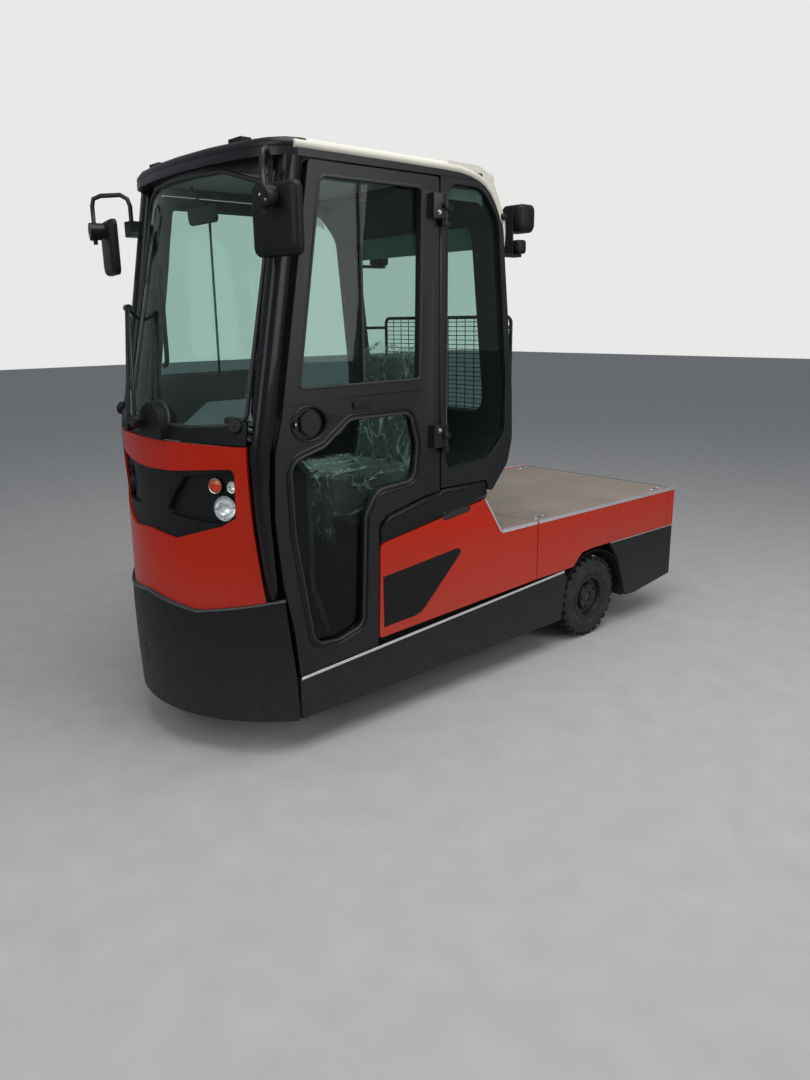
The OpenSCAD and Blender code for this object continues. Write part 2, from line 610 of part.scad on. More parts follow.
// Rear side panels: straight along the sill line, then up over the wheel
arch_top_z = 472;
post_w = 60;
groove = 3;
module bed_sides() color(body_red) from_axle() both_sides() difference() {
    side_plate([[split_x - seam / 2, deck_z, 0], [split_x - seam / 2, sill_z(split_x - cab_x) + 14, 0],
        [232, sill_z(232 - cab_x) + 4, 0], [168, 404, 30], [100, arch_top_z - 6, 40], [12, arch_top_z, 60],
        [-deck_overhang, arch_top_z, 0], [-deck_overhang, deck_z, 0]], skin_y, half);
    block([post_w - deck_overhang, half - groove, arch_top_z - 1], [post_w + groove - deck_overhang, half + 1, deck_z + 1]);
}

// Dark sills between the bumper and the wheel, and dark skirts behind the wheel
module sills() color(dark) from_axle() both_sides() side_plate([
    [cab_x + door_front_x - 74 - seam, skirt_z, 0],
    [cab_x + door_front_x - 72 - seam, sill_z(door_front_x - 72) - 2, 0],
    [236, sill_z(236 - cab_x), 14], [214, sill_z(236 - cab_x) - 40, 20], [250, skirt_z + 8, 14]], skin_y, half);
module rear_skirts() color(dark) from_axle() both_sides() side_plate([
    [-130, arch_top_z - seam, 6], [-205, 372, 50], [-262, 232, 40], [-292, 152, 24], [-382, 150, 40],
    [-deck_overhang, 190, 10], [-deck_overhang, arch_top_z - seam, 0]], skin_y, half);

// Load deck in two boards, let in between the side panels
deck_y = skin_y - seat_gap;
board_gap = 3;
// Sunk tie-down pockets near the corners of the rear board
ring_pocket = [92, 34, 12];
module deck_boards() color(board) from_axle() difference() {
    union() {
        block([split_x + board_gap / 2, -deck_y, deck_z - deck_t], [cab_x + hood_foot_x - seat_gap, deck_y, deck_z]);
        block([-deck_overhang + end_t + seat_gap, -deck_y, deck_z - deck_t],
            [split_x - board_gap / 2, deck_y, deck_z]);
    }
    both_sides() for (x = [split_x - 90, -deck_overhang + 90])
        translate([x, deck_y - 40, deck_z + 1 - ring_pocket.z / 2]) cube([ring_pocket.x, ring_pocket.y, ring_pocket.z + 2],
            center = true);
}
end_t = 12;
module rear_plate() color(dark) from_axle()
    block([-deck_overhang, -skin_y + seat_gap, 190], [-deck_overhang + end_t, skin_y - seat_gap, deck_z]);

// Tow coupling: a flange and two jaw plates, bored for the drawbar pin
tow_gap = 50;
tow_jaw_t = 16;
module tow_coupling() color(steel) from_axle() difference() {
    union() {
        block([-deck_overhang - 16, -85, tow_z - 85], [-deck_overhang - seat_gap, 85, tow_z + 85]);
        for (s = [-1, 1]) translate([0, 0, tow_z + s * (tow_gap + tow_jaw_t) / 2 - tow_jaw_t / 2]) {
            block([tow_pin_x, -tow_jaw_r, 0], [-deck_overhang - 15, tow_jaw_r, tow_jaw_t]);
            translate([tow_pin_x, 0, 0]) cylinder(h = tow_jaw_t, r = tow_jaw_r);
        }
    }
    translate([tow_pin_x, 0, tow_z - 100]) cylinder(h = 200, d = tow_pin_d + 2 * pin_gap);
}

// Ladder frame: rails over the rear axle, outriggers, belly plate, side boxes under the
// door steps, the uprights that carry the pillars, and the brackets of the nose
floor_t = 10;
floor_low = floor_z - floor_t - seat_gap;
rail_y = half - 240;
rail_w = 60;
rail_low = 470;
rail_rear = -deck_overhang + end_t + 1;
belly_z = 200;
belly_top = belly_z - 8;
belly_x = [hood_foot_x - 93, panel_front_x - 3];
step_x = door_front_x - 319;
step_top = 290;
upright_x = [door_front_x - 79, door_front_x - 42];
upright_y = [half - 85, half - 36];
bracket_t = 12;
bracket_y = half - 160;
cross_w = 50;
cross_h = 60;
cross_z = rail_low + 40;
rail_cross_x = [rail_rear + 79, split_x - 155, split_x - 5];
module chassis_frame() color(dark) {
    from_axle() {
        both_sides() {
            side_plate([[rail_rear, rail_low, 0], [split_x - 185, rail_low, 0], [split_x - 25, belly_z, 0],
                [cab_x + step_x, belly_z, 0], [cab_x + step_x, floor_low, 0], [split_x + 55, floor_low, 0],
                [split_x + 55, deck_z - deck_t - seat_gap, 0], [rail_rear, deck_z - deck_t - seat_gap, 0]],
                rail_y, rail_y + rail_w);
            for (x = rail_cross_x) block([x, rail_y, cross_z], [x + cross_w, skin_y - seat_gap, cross_z + cross_h]);
        }
        for (i = [0, 1]) block([rail_cross_x[i], -rail_y, cross_z], [rail_cross_x[i] + cross_w, rail_y, cross_z + cross_h]);
    }
    from_datum() {
        both_sides() {
            for (x = belly_x) block([x, rail_y, belly_z + 20], [x + cross_w, skin_y - seat_gap, belly_z + 20 + cross_h]);
            block([step_x - 40, rail_y, belly_z], [step_x, skin_y - seat_gap, step_top]);
            block([step_x - 40, upright_y[0], belly_z], [upright_x[1], skin_y - seat_gap, step_top]);
            block([upright_x[0], upright_y[0], step_top - 1], [upright_x[1], upright_y[1], pillar_foot_z - seat_gap]);
            side_plate([[front_axle_x, head_z, 0], [front_axle_x, 660, 0],
                [shell_x(hood_rows, 660, bracket_y + bracket_t, hood_edge_y, shell_t) - seat_gap, 660, 0],
                [shell_x(hood_rows, 620, bracket_y + bracket_t, hood_edge_y, shell_t) - 6, 620, 0],
                [front_axle_x + 60, head_z, 0]], bracket_y, bracket_y + bracket_t);
        }
        block([belly_x[0], -rail_y, belly_z - 20], [belly_x[1] + cross_w, rail_y, belly_top]);
        for (x = belly_x) block([x, -rail_y, belly_top], [x + cross_w, rail_y, belly_z + 40]);
        head_carrier();
    }
}

// The carrier that holds the steering head above the front wheel
head_z = 520;
head_d = 150;
fork_stem_d = 60;
module head_carrier() difference() {
    union() {
        both_sides() block([front_axle_x - 60, bracket_y - 50, head_z - 60],
            [front_axle_x + 60, upright_y[0] + 10, head_z - 20]);
        block([front_axle_x - 60, -bracket_y - bracket_t, head_z - 20],
            [front_axle_x + 60, bracket_y + bracket_t, head_z + 40]);
        translate([front_axle_x, 0, head_z - 20]) cylinder(h = 100, d = head_d);
    }
    translate([front_axle_x, 0, head_z - 30]) cylinder(h = 130, d = fork_stem_d + 2 * pin_gap);
}

module cab_floor() color(grey) from_datum()
    block([console_front + seat_gap, -inner_y, floor_z - floor_t], [step_x, inner_y, floor_z]);

// Steering fork, its stem in the head and an arm on one side of the wheel
module steer_fork() color(grey) from_datum() translate([front_axle_x, 0, 0]) {
    translate([0, 0, head_z - 26]) cylinder(h = 120, d = fork_stem_d);
    translate([0, 0, head_z - 56]) cylinder(h = 34, d = 130);
    both_sides() {
        block([-50, tyre_w / 2 + 14, wheel_r - 40], [50, tyre_w / 2 + 32, head_z - 30]);
        block([-50, 0, head_z - 56], [50, tyre_w / 2 + 32, head_z - 30]);
    }
    rotate([90, 0, 0]) translate([0, wheel_r, -tyre_w / 2 - 32]) cylinder(h = tyre_w + 64, d = shaft_d - 2 * pin_gap);
}

// A tyre's section, from the tread to the bead
tyre_section = [[rim_d / 2 - 12, -tyre_w / 2 + 10], [rim_d / 2 + 10, -tyre_w / 2 + 2],
    [wheel_r - 40, -tyre_w / 2], [wheel_r - 12, -tyre_w / 2 + 10], [wheel_r, -tyre_w / 2 + 22],
    [wheel_r, tyre_w / 2 - 22], [wheel_r - 12, tyre_w / 2 - 10], [wheel_r - 40, tyre_w / 2],
    [rim_d / 2 + 10, tyre_w / 2 - 2], [rim_d / 2 - 12, tyre_w / 2 - 10]];
module tyre() color(rubber) rotate([90, 0, 0]) rotate_extrude($fn = 64) polygon(tyre_section);
// A rim with a dished disc towards +Y and a hub
module rim(bore) color(grey) rotate([90, 0, 0]) difference() {
    rotate_extrude($fn = 64) polygon([[bore / 2, -tyre_w / 2 + 14], [62, -tyre_w / 2 + 14], [70, -tyre_w / 2 + 34],
        [rim_d / 2 - 26, -tyre_w / 2 + 30], [rim_d / 2 - 18, -tyre_w / 2 + 6], [rim_d / 2, -tyre_w / 2 + 4],
        [rim_d / 2 - 12.3, -tyre_w / 2 + 9.5], [rim_d / 2 - 12.3, tyre_w / 2 - 9.5], [rim_d / 2, tyre_w / 2 - 4],
        [rim_d / 2 - 22, tyre_w / 2 - 6], [rim_d / 2 - 26, -tyre_w / 2 + 46], [70, -tyre_w / 2 + 46], [62, tyre_w / 2 - 20],
        [bore / 2, tyre_w / 2 - 20]]);
    for (i = [0:4]) rotate([0, 0, 72 * i]) translate([52, 0, -tyre_w / 2 + 10]) cylinder(h = 30, d = 14, $fn = 24);
}
module at_wheel(x, y) from_axle() translate([x, y, wheel_r]) children();
module tyre_front() at_wheel(wheelbase, 0) tyre();
module rim_front() at_wheel(wheelbase, 0) rim(shaft_d);
module tyre_rear_left() at_wheel(0, track / 2) tyre();
module rim_rear_left() at_wheel(0, track / 2) rim(shaft_d);
module tyre_rear_right() at_wheel(0, -track / 2) mirror([0, 1, 0]) tyre();
module rim_rear_right() at_wheel(0, -track / 2) mirror([0, 1, 0]) rim(shaft_d);

// Driven rear axle: tube, final drive and motor, hung from the rails by leaf springs
module drive_axle() color(grey) from_axle() {
    translate([0, track / 2 - tyre_w / 2 - 8, wheel_r]) rotate([90, 0, 0])
        cylinder(h = track - tyre_w - 16, d = axle_tube_d);
    translate([0, track / 2 + 34, wheel_r]) rotate([90, 0, 0]) cylinder(h = track + 68, d = shaft_d - 2 * pin_gap);
    translate([0, 70, wheel_r]) rotate([90, 0, 0]) cylinder(h = 150, d = 260);
    translate([60, 0, wheel_r + 20]) rotate([0, 90, 0]) cylinder(h = 330, d = 200);
    both_sides() {
        block([-250, rail_y + 5, wheel_r + axle_tube_d / 2 - 4], [200, rail_y + 55, wheel_r + axle_tube_d / 2 + 20]);
        for (x = [-245, 155])
            block([x, rail_y + 10, wheel_r + axle_tube_d / 2 + 18], [x + 40, rail_y + 50, rail_low - seat_gap]);
    }
}

// Battery between the rails, inside the seat console
console_front = panel_front_x - 18;
console_rear = hood_foot_x + 104;
console_z = 800;
console_t = 20;
battery_l = 540;
battery_h = 570;
module battery_block() color(grey) from_datum()
    block([console_front - console_t - run_gap - battery_l, -rail_y + run_gap, belly_top + seat_gap],
        [console_front - console_t - run_gap, rail_y - run_gap, belly_top + battery_h]);

// Seat console, cushion and back
cushion_h = 128;
cushion_l = 460;
seat_x = hood_foot_x + 233;
back_t = 84;
back_h = 610;
back_lean = 9;
pad_r = 50;
module seat_base() color(dark) from_datum() {
    difference() {
        block([console_rear, -skin_y + seat_gap, floor_z - floor_t], [console_front, skin_y - seat_gap, console_z]);
        block([console_rear - 1, -skin_y + console_t, floor_z - floor_t - 1],
            [console_front - console_t, skin_y - console_t, console_z - console_t]);
    }
    block([seat_x + 20, -seat_w / 2 + 30, console_z - 1], [seat_x + 400, seat_w / 2 - 30, seat_z - cushion_h - seat_gap]);
}
module seat_cushion() color(rubber) from_datum() hull()
    for (x = [seat_x + seat_gap + pad_r, seat_x + cushion_l - pad_r], y = [-1, 1])
        translate([x, y * (seat_w / 2 - pad_r), seat_z - cushion_h]) cylinder(h = cushion_h, r = pad_r, $fn = 32);
module seat_back() color(rubber) from_datum() translate([seat_x, 0, seat_z - cushion_h])
    rotate([0, -back_lean, 0]) hull() for (z = [pad_r, back_h - pad_r], y = [-1, 1])
        translate([-back_t, y * (seat_w / 2 - pad_r), z]) rotate([0, 90, 0])
            cylinder(h = back_t, r = pad_r, $fn = 32);

// Front wall ahead of the pedals, curving over into the dashboard
dash_y = upright_y[0] - seat_gap;
dash_x = door_front_x - 224;
dash_t = 25;
dash_front = shell_x(hood_rows, 1190, dash_y, hood_edge_y, shell_t) - seat_gap;
module dashboard() color(dark) from_datum() side_plate([[step_x + seat_gap, belly_z, 0],
    [step_x + seat_gap, floor_z, 0], [dash_x, 620, 60], [dash_x, 1050, 40], [dash_x + 100, 1160, 30],
    [dash_front, 1196, 0], [dash_front, 1184, 0], [dash_x + 120, 1140, 20], [dash_x + dash_t, 1040, 30],
    [dash_x + dash_t, 610, 60], [step_x + 26, floor_z - 10, 20], [step_x + 26, belly_z, 0]], -dash_y, dash_y);

// Hand wheel on its column, which ends against the dashboard
hand_wheel_at = [dash_x - 95, 0, 1120];
hand_wheel_lean = 32;
rim_bar = 28;
column_d = 60;
module hand_wheel() color(rubber) from_datum() {
    translate(hand_wheel_at) rotate([0, -hand_wheel_lean, 0]) {
        rotate_extrude() translate([hand_wheel_d / 2 - rim_bar / 2, 0]) circle(d = rim_bar);
        cylinder(h = rim_bar, d = 90, center = true);
        for (a = [60, 180, 300]) rotate([0, 90, a]) cylinder(h = hand_wheel_d / 2 - rim_bar / 2, d = 22);
    }
    difference() {
        translate(hand_wheel_at) rotate([0, 180 - hand_wheel_lean, 0]) cylinder(h = 250, d = column_d);
        block([dash_x - seat_gap, -column_d, 700], [dash_x + 200, column_d, 1200]);
    }
}

// Mirror arms: a tube from the pillar's bracket, over and down through a round clamp. Clamp and
// head are turned outwards a little, so that the driver sees along the tug.
arm_y = half + 105;
arm_x = mirror_x + 108;
clamp_d = 60;
mirror_yaw = 12;
head_back = 37;
module mirror_arms() color(dark) from_datum() both_sides() {
    bent_rod([[mirror_x, half - 16, mirror_z - 14], [mirror_x, half - 16, mirror_z + 90],
        [mirror_x + 6, half - 8, mirror_z + 118], [mirror_x + 26, half + 12, mirror_z + 134],
        [arm_x - 30, arm_y - 22, mirror_z + 134], [arm_x - 6, arm_y - 4, mirror_z + 122],
        [arm_x, arm_y, mirror_z + 94], [arm_x, arm_y, mirror_z - 55]], arm_d);
    translate([arm_x, arm_y, mirror_z]) rotate([0, 0, mirror_yaw]) rotate([0, 90, 0])
        translate([0, 0, seat_gap - head_back]) cylinder(h = head_back + 20, d = clamp_d);
}
// The head is domed in front: depth behind its foremost face, and how far it is drawn in
head_rings = [[0, 22], [3, 10], [9, 3], [19, 0], [33, 0], [36, 4]];
head_size = [198, 218];
module mirror_heads() color(dark) from_datum() both_sides() translate([arm_x, arm_y, mirror_z])
    rotate([0, 0, mirror_yaw]) translate([-head_back, -4, -67]) tube([for (r = head_rings)
        [for (p = outline([for (c = [[-1, -1], [-1, 1], [1, 1], [1, -1]])
            [c.x * (head_size.x / 2 - r[1]), c.y * (head_size.y / 2 - r[1]), 26]])) [-r[0], p.x, p.y]]]);

// Wiper: two arms side by side from the spindles to a bracket, and the blade on the glass
wiper_head = [-215, 1640];
wiper_lift = 62;
blade_z = [1330, screen_top_z - 168];
blade_gap = 7;
function on_glass(p, off) = [glass_x(p.x, p.y, off), p.x, p.y];
module wiper() color(rubber) from_datum() {
    for (p = spindles) {
        translate([screen_x - 60, p.x, p.y]) rotate([0, 90, 0]) cylinder(h = 120, d = spindle_d);
        translate([screen_x + 40, p.x, p.y]) rotate([0, 90, 0]) cylinder(h = 26, d = 40);
        rod([screen_x + 53, p.x, p.y], on_glass(wiper_head + [(p.x + 22) / 2, 0], wiper_lift), 14);
    }
    rod(on_glass(wiper_head + [24, 0], wiper_lift), on_glass(wiper_head - [24, 0], wiper_lift), 26);
    rod(on_glass(wiper_head - [20, 0], wiper_lift), on_glass(wiper_head - [24, 40], blade_gap + 4), 12);
    bent_rod([for (i = [0:6]) on_glass([wiper_head.x - 24, blade_z[0] + (blade_z[1] - blade_z[0]) * i / 6], blade_gap)], 11);
}

// The door: an upper frame and a lower leaf that reaches forward of the hood panel
door_rows = [[door_front_x - 196 - door_gap / 2, door_top_z - 6, 14], [door_front_x - 123 - door_gap / 2, door_top_z - 416, 300],
    [door_front_x - 47 - door_gap / 2, 1261, 200], [door_front_x - 13 - door_gap / 2, 1140, 150],
    [door_front_x - door_gap / 2, 918, 260], [door_front_x - 20 - door_gap / 2, 690, 200],
    [door_front_x - 60 - door_gap / 2, 490, 100], [door_front_x - 76 - door_gap / 2, sill_z(door_front_x - 66) + 8, 8],
    [panel_front_x + door_gap, sill_z(panel_front_x) + 8, 10], [panel_front_x - 14 + door_gap, 750, 40],
    [panel_front_x - 14 + door_gap, 820, 30], [panel_front_x - 41, 858, 50], [hinge_x + 86, 905, 60],
    [hinge_x + door_gap, cover_top_z - 12 + door_gap, 6], [hinge_x + door_gap, door_top_z - 6, 14]];
upper_window = [[door_front_x - 244, door_top_z - 52, 30], [hinge_x + 94, door_top_z - 50, 20],
    [hinge_x + 112, 1364, 14], [door_front_x - 128, 1360, 14]];
lower_window = [[door_front_x - 78, 1110, 60], [door_front_x - 224, 1150, 60], [panel_front_x + 117, 1238, 60],
    [hinge_x + 164, 1238, 40], [hinge_x + 130, 1110, 60], [hinge_x + 149, 975, 40], [panel_front_x - 3, 962, 80],
    [panel_front_x + 59, 870, 60], [panel_front_x + 81, 440, 50], [door_front_x - 264, 412, 60],
    [door_front_x - 149, 420, 60], [door_front_x - 84, 860, 200]];
grip_x = door_front_x - 162;
grip_z = 1238;
grip_size = [75, 60];
grip_deep = 14;
module door() {
    difference() {
        side_plate(door_rows, half - door_t, half);
        side_plate(upper_window, half - door_t - 1, half + 1);
        side_plate(lower_window, half - door_t - 1, half + 1);
        translate([grip_x, half - grip_deep, grip_z]) rotate([-90, 0, 0]) linear_extrude(20)
            polygon(ellipse(grip_size.x, grip_size.y));
    }
    translate([grip_x - 8, half - grip_deep - 1, grip_z]) rotate([-90, 0, 0]) linear_extrude(grip_deep - 1)
        polygon(ellipse(grip_size.x * 0.55, grip_size.y * 0.72));
    for (z = hinge_zs) difference() {
        union() {
            translate([hinge_x, hinge_y, z - hinge_h / 2]) cylinder(h = hinge_h, d = hinge_d);
            block([hinge_x, hinge_y - 6, z - hinge_h / 2], [hinge_x + 40, hinge_y + 6, z + hinge_h / 2]);
            block([hinge_x + 24, half - 2, z - hinge_h / 2], [hinge_x + 60, hinge_y + 6, z + hinge_h / 2]);
        }
        translate([hinge_x, hinge_y, z - hinge_h]) cylinder(h = 2 * hinge_h, d = hinge_pin_d + 2 * pin_gap);
    }
}
module door_glass() {
    side_plate(upper_window, half - 20 - glass_t, half - 20);
    side_plate(lower_window, half - 20 - glass_t, half - 20);
}
module door_left() color(dark) from_datum() door();
module door_right() color(dark) from_datum() mirror([0, 1, 0]) door();
module door_glass_left() color(tint, 0.4) from_datum() door_glass();
module door_glass_right() color(tint, 0.4) from_datum() mirror([0, 1, 0]) door_glass();

chassis_frame();
cab_floor();
front_bumper();
nose_hood();
grille_insert();
front_lamps();
cowl();
windscreen();
pillars();
roof_frame();
roof_panel();
roof_markers();
cab_sides();
rear_wall();
cab_glass();
rear_guard();
rear_brackets();
rear_lamps();
side_panels();
side_covers();
bed_sides();
sills();
rear_skirts();
deck_boards();
rear_plate();
tow_coupling();
seat_base();
seat_cushion();
seat_back();
dashboard();
hand_wheel();
mirror_arms();
mirror_heads();
wiper();
battery_block();
drive_axle();
steer_fork();
tyre_front();
rim_front();
tyre_rear_left();
rim_rear_left();
tyre_rear_right();
rim_rear_right();
door_left();
door_glass_left();
door_right();
door_glass_right();
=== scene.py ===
"""Airport baggage tug: the looks of a cab-equipped electric platform tractor, round its CAD model.

Lengths are in millimetres from the rear axle, to the left of the middle, and from the ground.
"""
import json
import math

import bmesh
import bpy
from mathutils import Matrix, Vector, noise
from mathutils.bvhtree import BVHTree

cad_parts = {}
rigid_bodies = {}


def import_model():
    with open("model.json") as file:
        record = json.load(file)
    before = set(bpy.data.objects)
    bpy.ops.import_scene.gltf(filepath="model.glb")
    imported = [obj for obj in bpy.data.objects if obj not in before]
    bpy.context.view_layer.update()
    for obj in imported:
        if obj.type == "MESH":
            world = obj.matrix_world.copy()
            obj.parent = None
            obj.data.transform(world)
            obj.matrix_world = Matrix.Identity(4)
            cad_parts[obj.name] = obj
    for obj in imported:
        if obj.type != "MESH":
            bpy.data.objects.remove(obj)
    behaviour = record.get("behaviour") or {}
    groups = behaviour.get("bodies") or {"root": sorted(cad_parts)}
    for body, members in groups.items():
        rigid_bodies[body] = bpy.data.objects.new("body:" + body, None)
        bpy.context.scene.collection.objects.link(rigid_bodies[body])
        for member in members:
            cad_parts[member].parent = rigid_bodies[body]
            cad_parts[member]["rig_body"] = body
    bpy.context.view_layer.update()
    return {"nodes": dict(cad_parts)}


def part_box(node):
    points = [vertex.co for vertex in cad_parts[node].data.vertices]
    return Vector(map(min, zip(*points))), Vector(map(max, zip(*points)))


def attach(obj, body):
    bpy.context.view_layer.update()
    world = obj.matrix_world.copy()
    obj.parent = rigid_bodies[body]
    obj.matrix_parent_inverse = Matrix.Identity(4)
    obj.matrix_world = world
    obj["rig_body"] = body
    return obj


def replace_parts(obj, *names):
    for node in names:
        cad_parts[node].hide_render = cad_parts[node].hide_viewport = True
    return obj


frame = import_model()

# Chassis frame
# The rails, cross-members and uprights are cut from steel plate, welded, and powder coated
# satin black. They show under the deck, in the wheel arches and at the door steps.
axle_low, axle_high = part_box("rim_rear_left")
axle_x = (axle_low.x + axle_high.x) / 2
half_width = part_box("bed_sides")[1].y * 1000
x_axis = Vector((1, 0, 0))
y_axis = Vector((0, 1, 0))
z_axis = Vector((0, 0, 1))
both_sides = ((1, "left"), (-1, "right"))


def at(x, y, z):
    """A point in metres, from millimetres ahead of the rear axle, to the left and up."""
    return Vector((axle_x + x / 1000, y / 1000, z / 1000))


def linear(code, factor=1.0):
    """The linear colour of an sRGB hex code, made brighter or darker by a factor."""
    channels = [int(code[i:i + 2], 16) / 255 for i in (1, 3, 5)]
    plain = [c / 12.92 if c <= 0.04045 else ((c + 0.055) / 1.055) ** 2.4 for c in channels]
    return tuple(min(1.0, factor * c) for c in plain) + (1.0,)


def add(tree, kind, inputs=None, **settings):
    """A node with its settings, its values and its links."""
    node = tree.nodes.new(kind)
    for name, value in settings.items():
        setattr(node, name, value)
    for key, value in (inputs or {}).items():
        if isinstance(value, bpy.types.NodeSocket):
            tree.links.new(value, node.inputs[key])
        else:
            node.inputs[key].default_value = value
    return node


def new_material(name):
    """A material with an empty tree, the piece's own coordinates and a closing function."""
    material = bpy.data.materials.new(name)
    material.use_nodes = True
    tree = material.node_tree
    tree.nodes.clear()
    place = add(tree, "ShaderNodeTexCoord").outputs["Object"]

    def close(shader):
        add(tree, "ShaderNodeOutputMaterial", {"Surface": shader})
        return material

    return tree, place, close


def cloudy(tree, place, scale, detail=2.0, warp=0.0):
    """A cloudy noise, finer with more detail."""
    return add(tree, "ShaderNodeTexNoise", {"Vector": place, "Scale": scale, "Detail": detail,
                                            "Distortion": warp}).outputs[0]


def ranged(tree, value, start, end, low, high):
    """A value taken from one range to another."""
    return add(tree, "ShaderNodeMapRange", {0: value, 1: start, 2: end, 3: low, 4: high}).outputs[0]


def mixed(tree, share, first, second):
    """Two colours mixed by a share of the second."""
    return add(tree, "ShaderNodeMix", {0: share, 6: first, 7: second}, data_type="RGBA").outputs[2]


def bumped(tree, height, strength, depth):
    """The normal of a fine relief of a depth in metres."""
    bump = add(tree, "ShaderNodeBump", {"Height": height, "Strength": strength, "Distance": depth})
    return bump.outputs[0]


def surface(tree, colour, rough, more):
    """A principled shader of a colour and a roughness, with more of its inputs."""
    shader = add(tree, "ShaderNodeBsdfPrincipled", {"Base Color": colour, "Roughness": rough, **more})
    return shader.outputs[0]


def powder_coat(name, code, rough, grain, shine=0.33):
    """Powder coat: a hard satin film with a fine pebbled skin, that catches soft broad lights."""
    tree, place, close = new_material(name)
    cloud = cloudy(tree, place, 7.0, 3.0)
    gloss = ranged(tree, cloud, 0.0, 1.0, rough - 0.05, rough + 0.06)
    pebbles = bumped(tree, cloudy(tree, place, grain), 0.12, 0.0006)
    return close(surface(tree, mixed(tree, cloud, linear(code), linear(code, 1.25)), gloss, {
        "Normal": pebbles, "Specular IOR Level": shine}))


black_coat = powder_coat("black powder coat", "#121315", 0.36, 700.0)


def rounded(piece, width, steps=2, angle=30):
    """Rounds a piece's edges by a width in millimetres."""
    rounding = piece.modifiers.new("rounding", "BEVEL")
    rounding.width = width / 1000
    rounding.segments = steps
    rounding.limit_method = "ANGLE"
    rounding.angle_limit = math.radians(angle)
    rounding.harden_normals = True
    return piece


def placed(name, shape):
    """An object made of a mesh in hand, linked to the scene."""
    mesh = bpy.data.meshes.new(name)
    shape.to_mesh(mesh)
    shape.free()
    piece = bpy.data.objects.new(name, mesh)
    bpy.context.scene.collection.objects.link(piece)
    return piece


def smoothed(piece, angle):
    """Shades a piece smooth but for the edges sharper than an angle."""
    piece.data.shade_smooth()
    piece.data.set_sharp_from_angle(angle=math.radians(angle))


def closed_piece(name, shape, material, body="chassis", angle=30):
    """A piece from mesh in hand, smooth but for its sharp edges, that rides on a body."""
    piece = placed(name, shape)
    piece.data.materials.append(material)
    smoothed(piece, angle)
    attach(piece, body)
    return piece


def merged(node, flat=0.5):
    """A CAD node's mesh with its triangles joined up into faces that are flat within some degrees."""
    shape = bmesh.new()
    shape.from_mesh(frame["nodes"][node].data)
    bmesh.ops.remove_doubles(shape, verts=shape.verts, dist=0.00002)
    bmesh.ops.dissolve_limit(shape, angle_limit=math.radians(flat), verts=shape.verts, edges=shape.edges)
    return shape


def eased(node, name, material, width=2.0, angle=30, steps=2, flat=0.5):
    """A copy of a CAD node with its edges rounded, which stands for it and rides with it."""
    piece = closed_piece(name, merged(node, flat), material, frame["nodes"][node]["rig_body"], angle)
    if width:
        rounded(piece, width, steps, angle)
    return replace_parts(piece, node)


eased("chassis_frame", "frame_rails", black_coat)
eased("rear_plate", "rear_end_plate", black_coat)

# Screws and bolts
# Zinc-plated hexagon bolts and button-head screws hold the plates and panels down.


def spot(point):
    """The millimetres ahead of the rear axle, to the left and up, of a point in metres."""
    return ((point.x - axle_x) * 1000, point.y * 1000, point.z * 1000)


def corners_of(node):
    """The low and the high corner of a CAD node's box, in millimetres."""
    low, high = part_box(node)
    return spot(low), spot(high)


def turned(shape, profile, centre, axis, steps=24, loop=False):
    """Adds a turned form to a mesh: pairs of radius and height, in millimetres, about an axis."""
    axis = Vector(axis).normalized()
    side = axis.orthogonal().normalized()
    rings = []
    for radius, height in profile:
        middle = centre + axis * height / 1000
        turns = [Matrix.Rotation(math.tau * k / steps, 3, axis) @ side for k in range(steps if radius else 1)]
        rings.append([shape.verts.new(middle + turn * radius / 1000) for turn in turns])
    pairs = list(zip(rings, rings[1:]))
    if loop:
        pairs.append((rings[-1], rings[0]))
    for near, far in pairs:
        for k in range(steps):
            nxt = k + 1
            corners = [near[k % len(near)], near[nxt % len(near)], far[nxt % len(far)], far[k % len(far)]]
            corners = list(dict.fromkeys(corners))
            if len(corners) > 2:
                shape.faces.new(corners)


def outward(shape):
    """The mesh with all its faces turned outwards."""
    bmesh.ops.recalc_face_normals(shape, faces=shape.faces)
    return shape


def new_tree(name, *sockets):
    """A geometry tree with named inputs, what they give, and a closing function."""
    tree = bpy.data.node_groups.new(name, "GeometryNodeTree")
    tree.is_modifier = True
    tree.interface.new_socket("Geometry", in_out="INPUT", socket_type="NodeSocketGeometry")
    for label, kind in sockets:
        tree.interface.new_socket(label, in_out="INPUT", socket_type="NodeSocket" + kind)
    tree.interface.new_socket("Geometry", in_out="OUTPUT", socket_type="NodeSocketGeometry")
    given = add(tree, "NodeGroupInput").outputs

    def close(made):
        real = add(tree, "GeometryNodeRealizeInstances", {0: made.outputs[0]})
        dressed = add(tree, "GeometryNodeSetMaterial", {0: real.outputs[0], "Material": given["Finish"]})
        add(tree, "NodeGroupOutput", {0: dressed.outputs[0]})
        return tree

    return tree, given, close


def result_of(piece):
    """The mesh that a piece's modifiers make."""
    graph = bpy.context.evaluated_depsgraph_get()
    return bpy.data.meshes.new_from_object(piece.evaluated_get(graph))


def finished(name, start, tree, values, body, angle=30):
    """Runs a geometry tree on a mesh of points or paths and keeps what it makes as a plain piece."""
    piece = placed(name, start)
    work = piece.modifiers.new("tree", "NODES")
    work.node_group = tree
    keys = {item.name: item.identifier for item in tree.interface.items_tree if item.in_out == "INPUT"}
    for label, value in values.items():
        work[keys[label]] = value
    made = result_of(piece)
    piece.modifiers.remove(work)
    piece.data = made
    whole = bmesh.new()
    whole.from_mesh(made)
    outward(whole).to_mesh(made)
    whole.free()
    smoothed(piece, angle)
    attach(piece, body)
    return piece


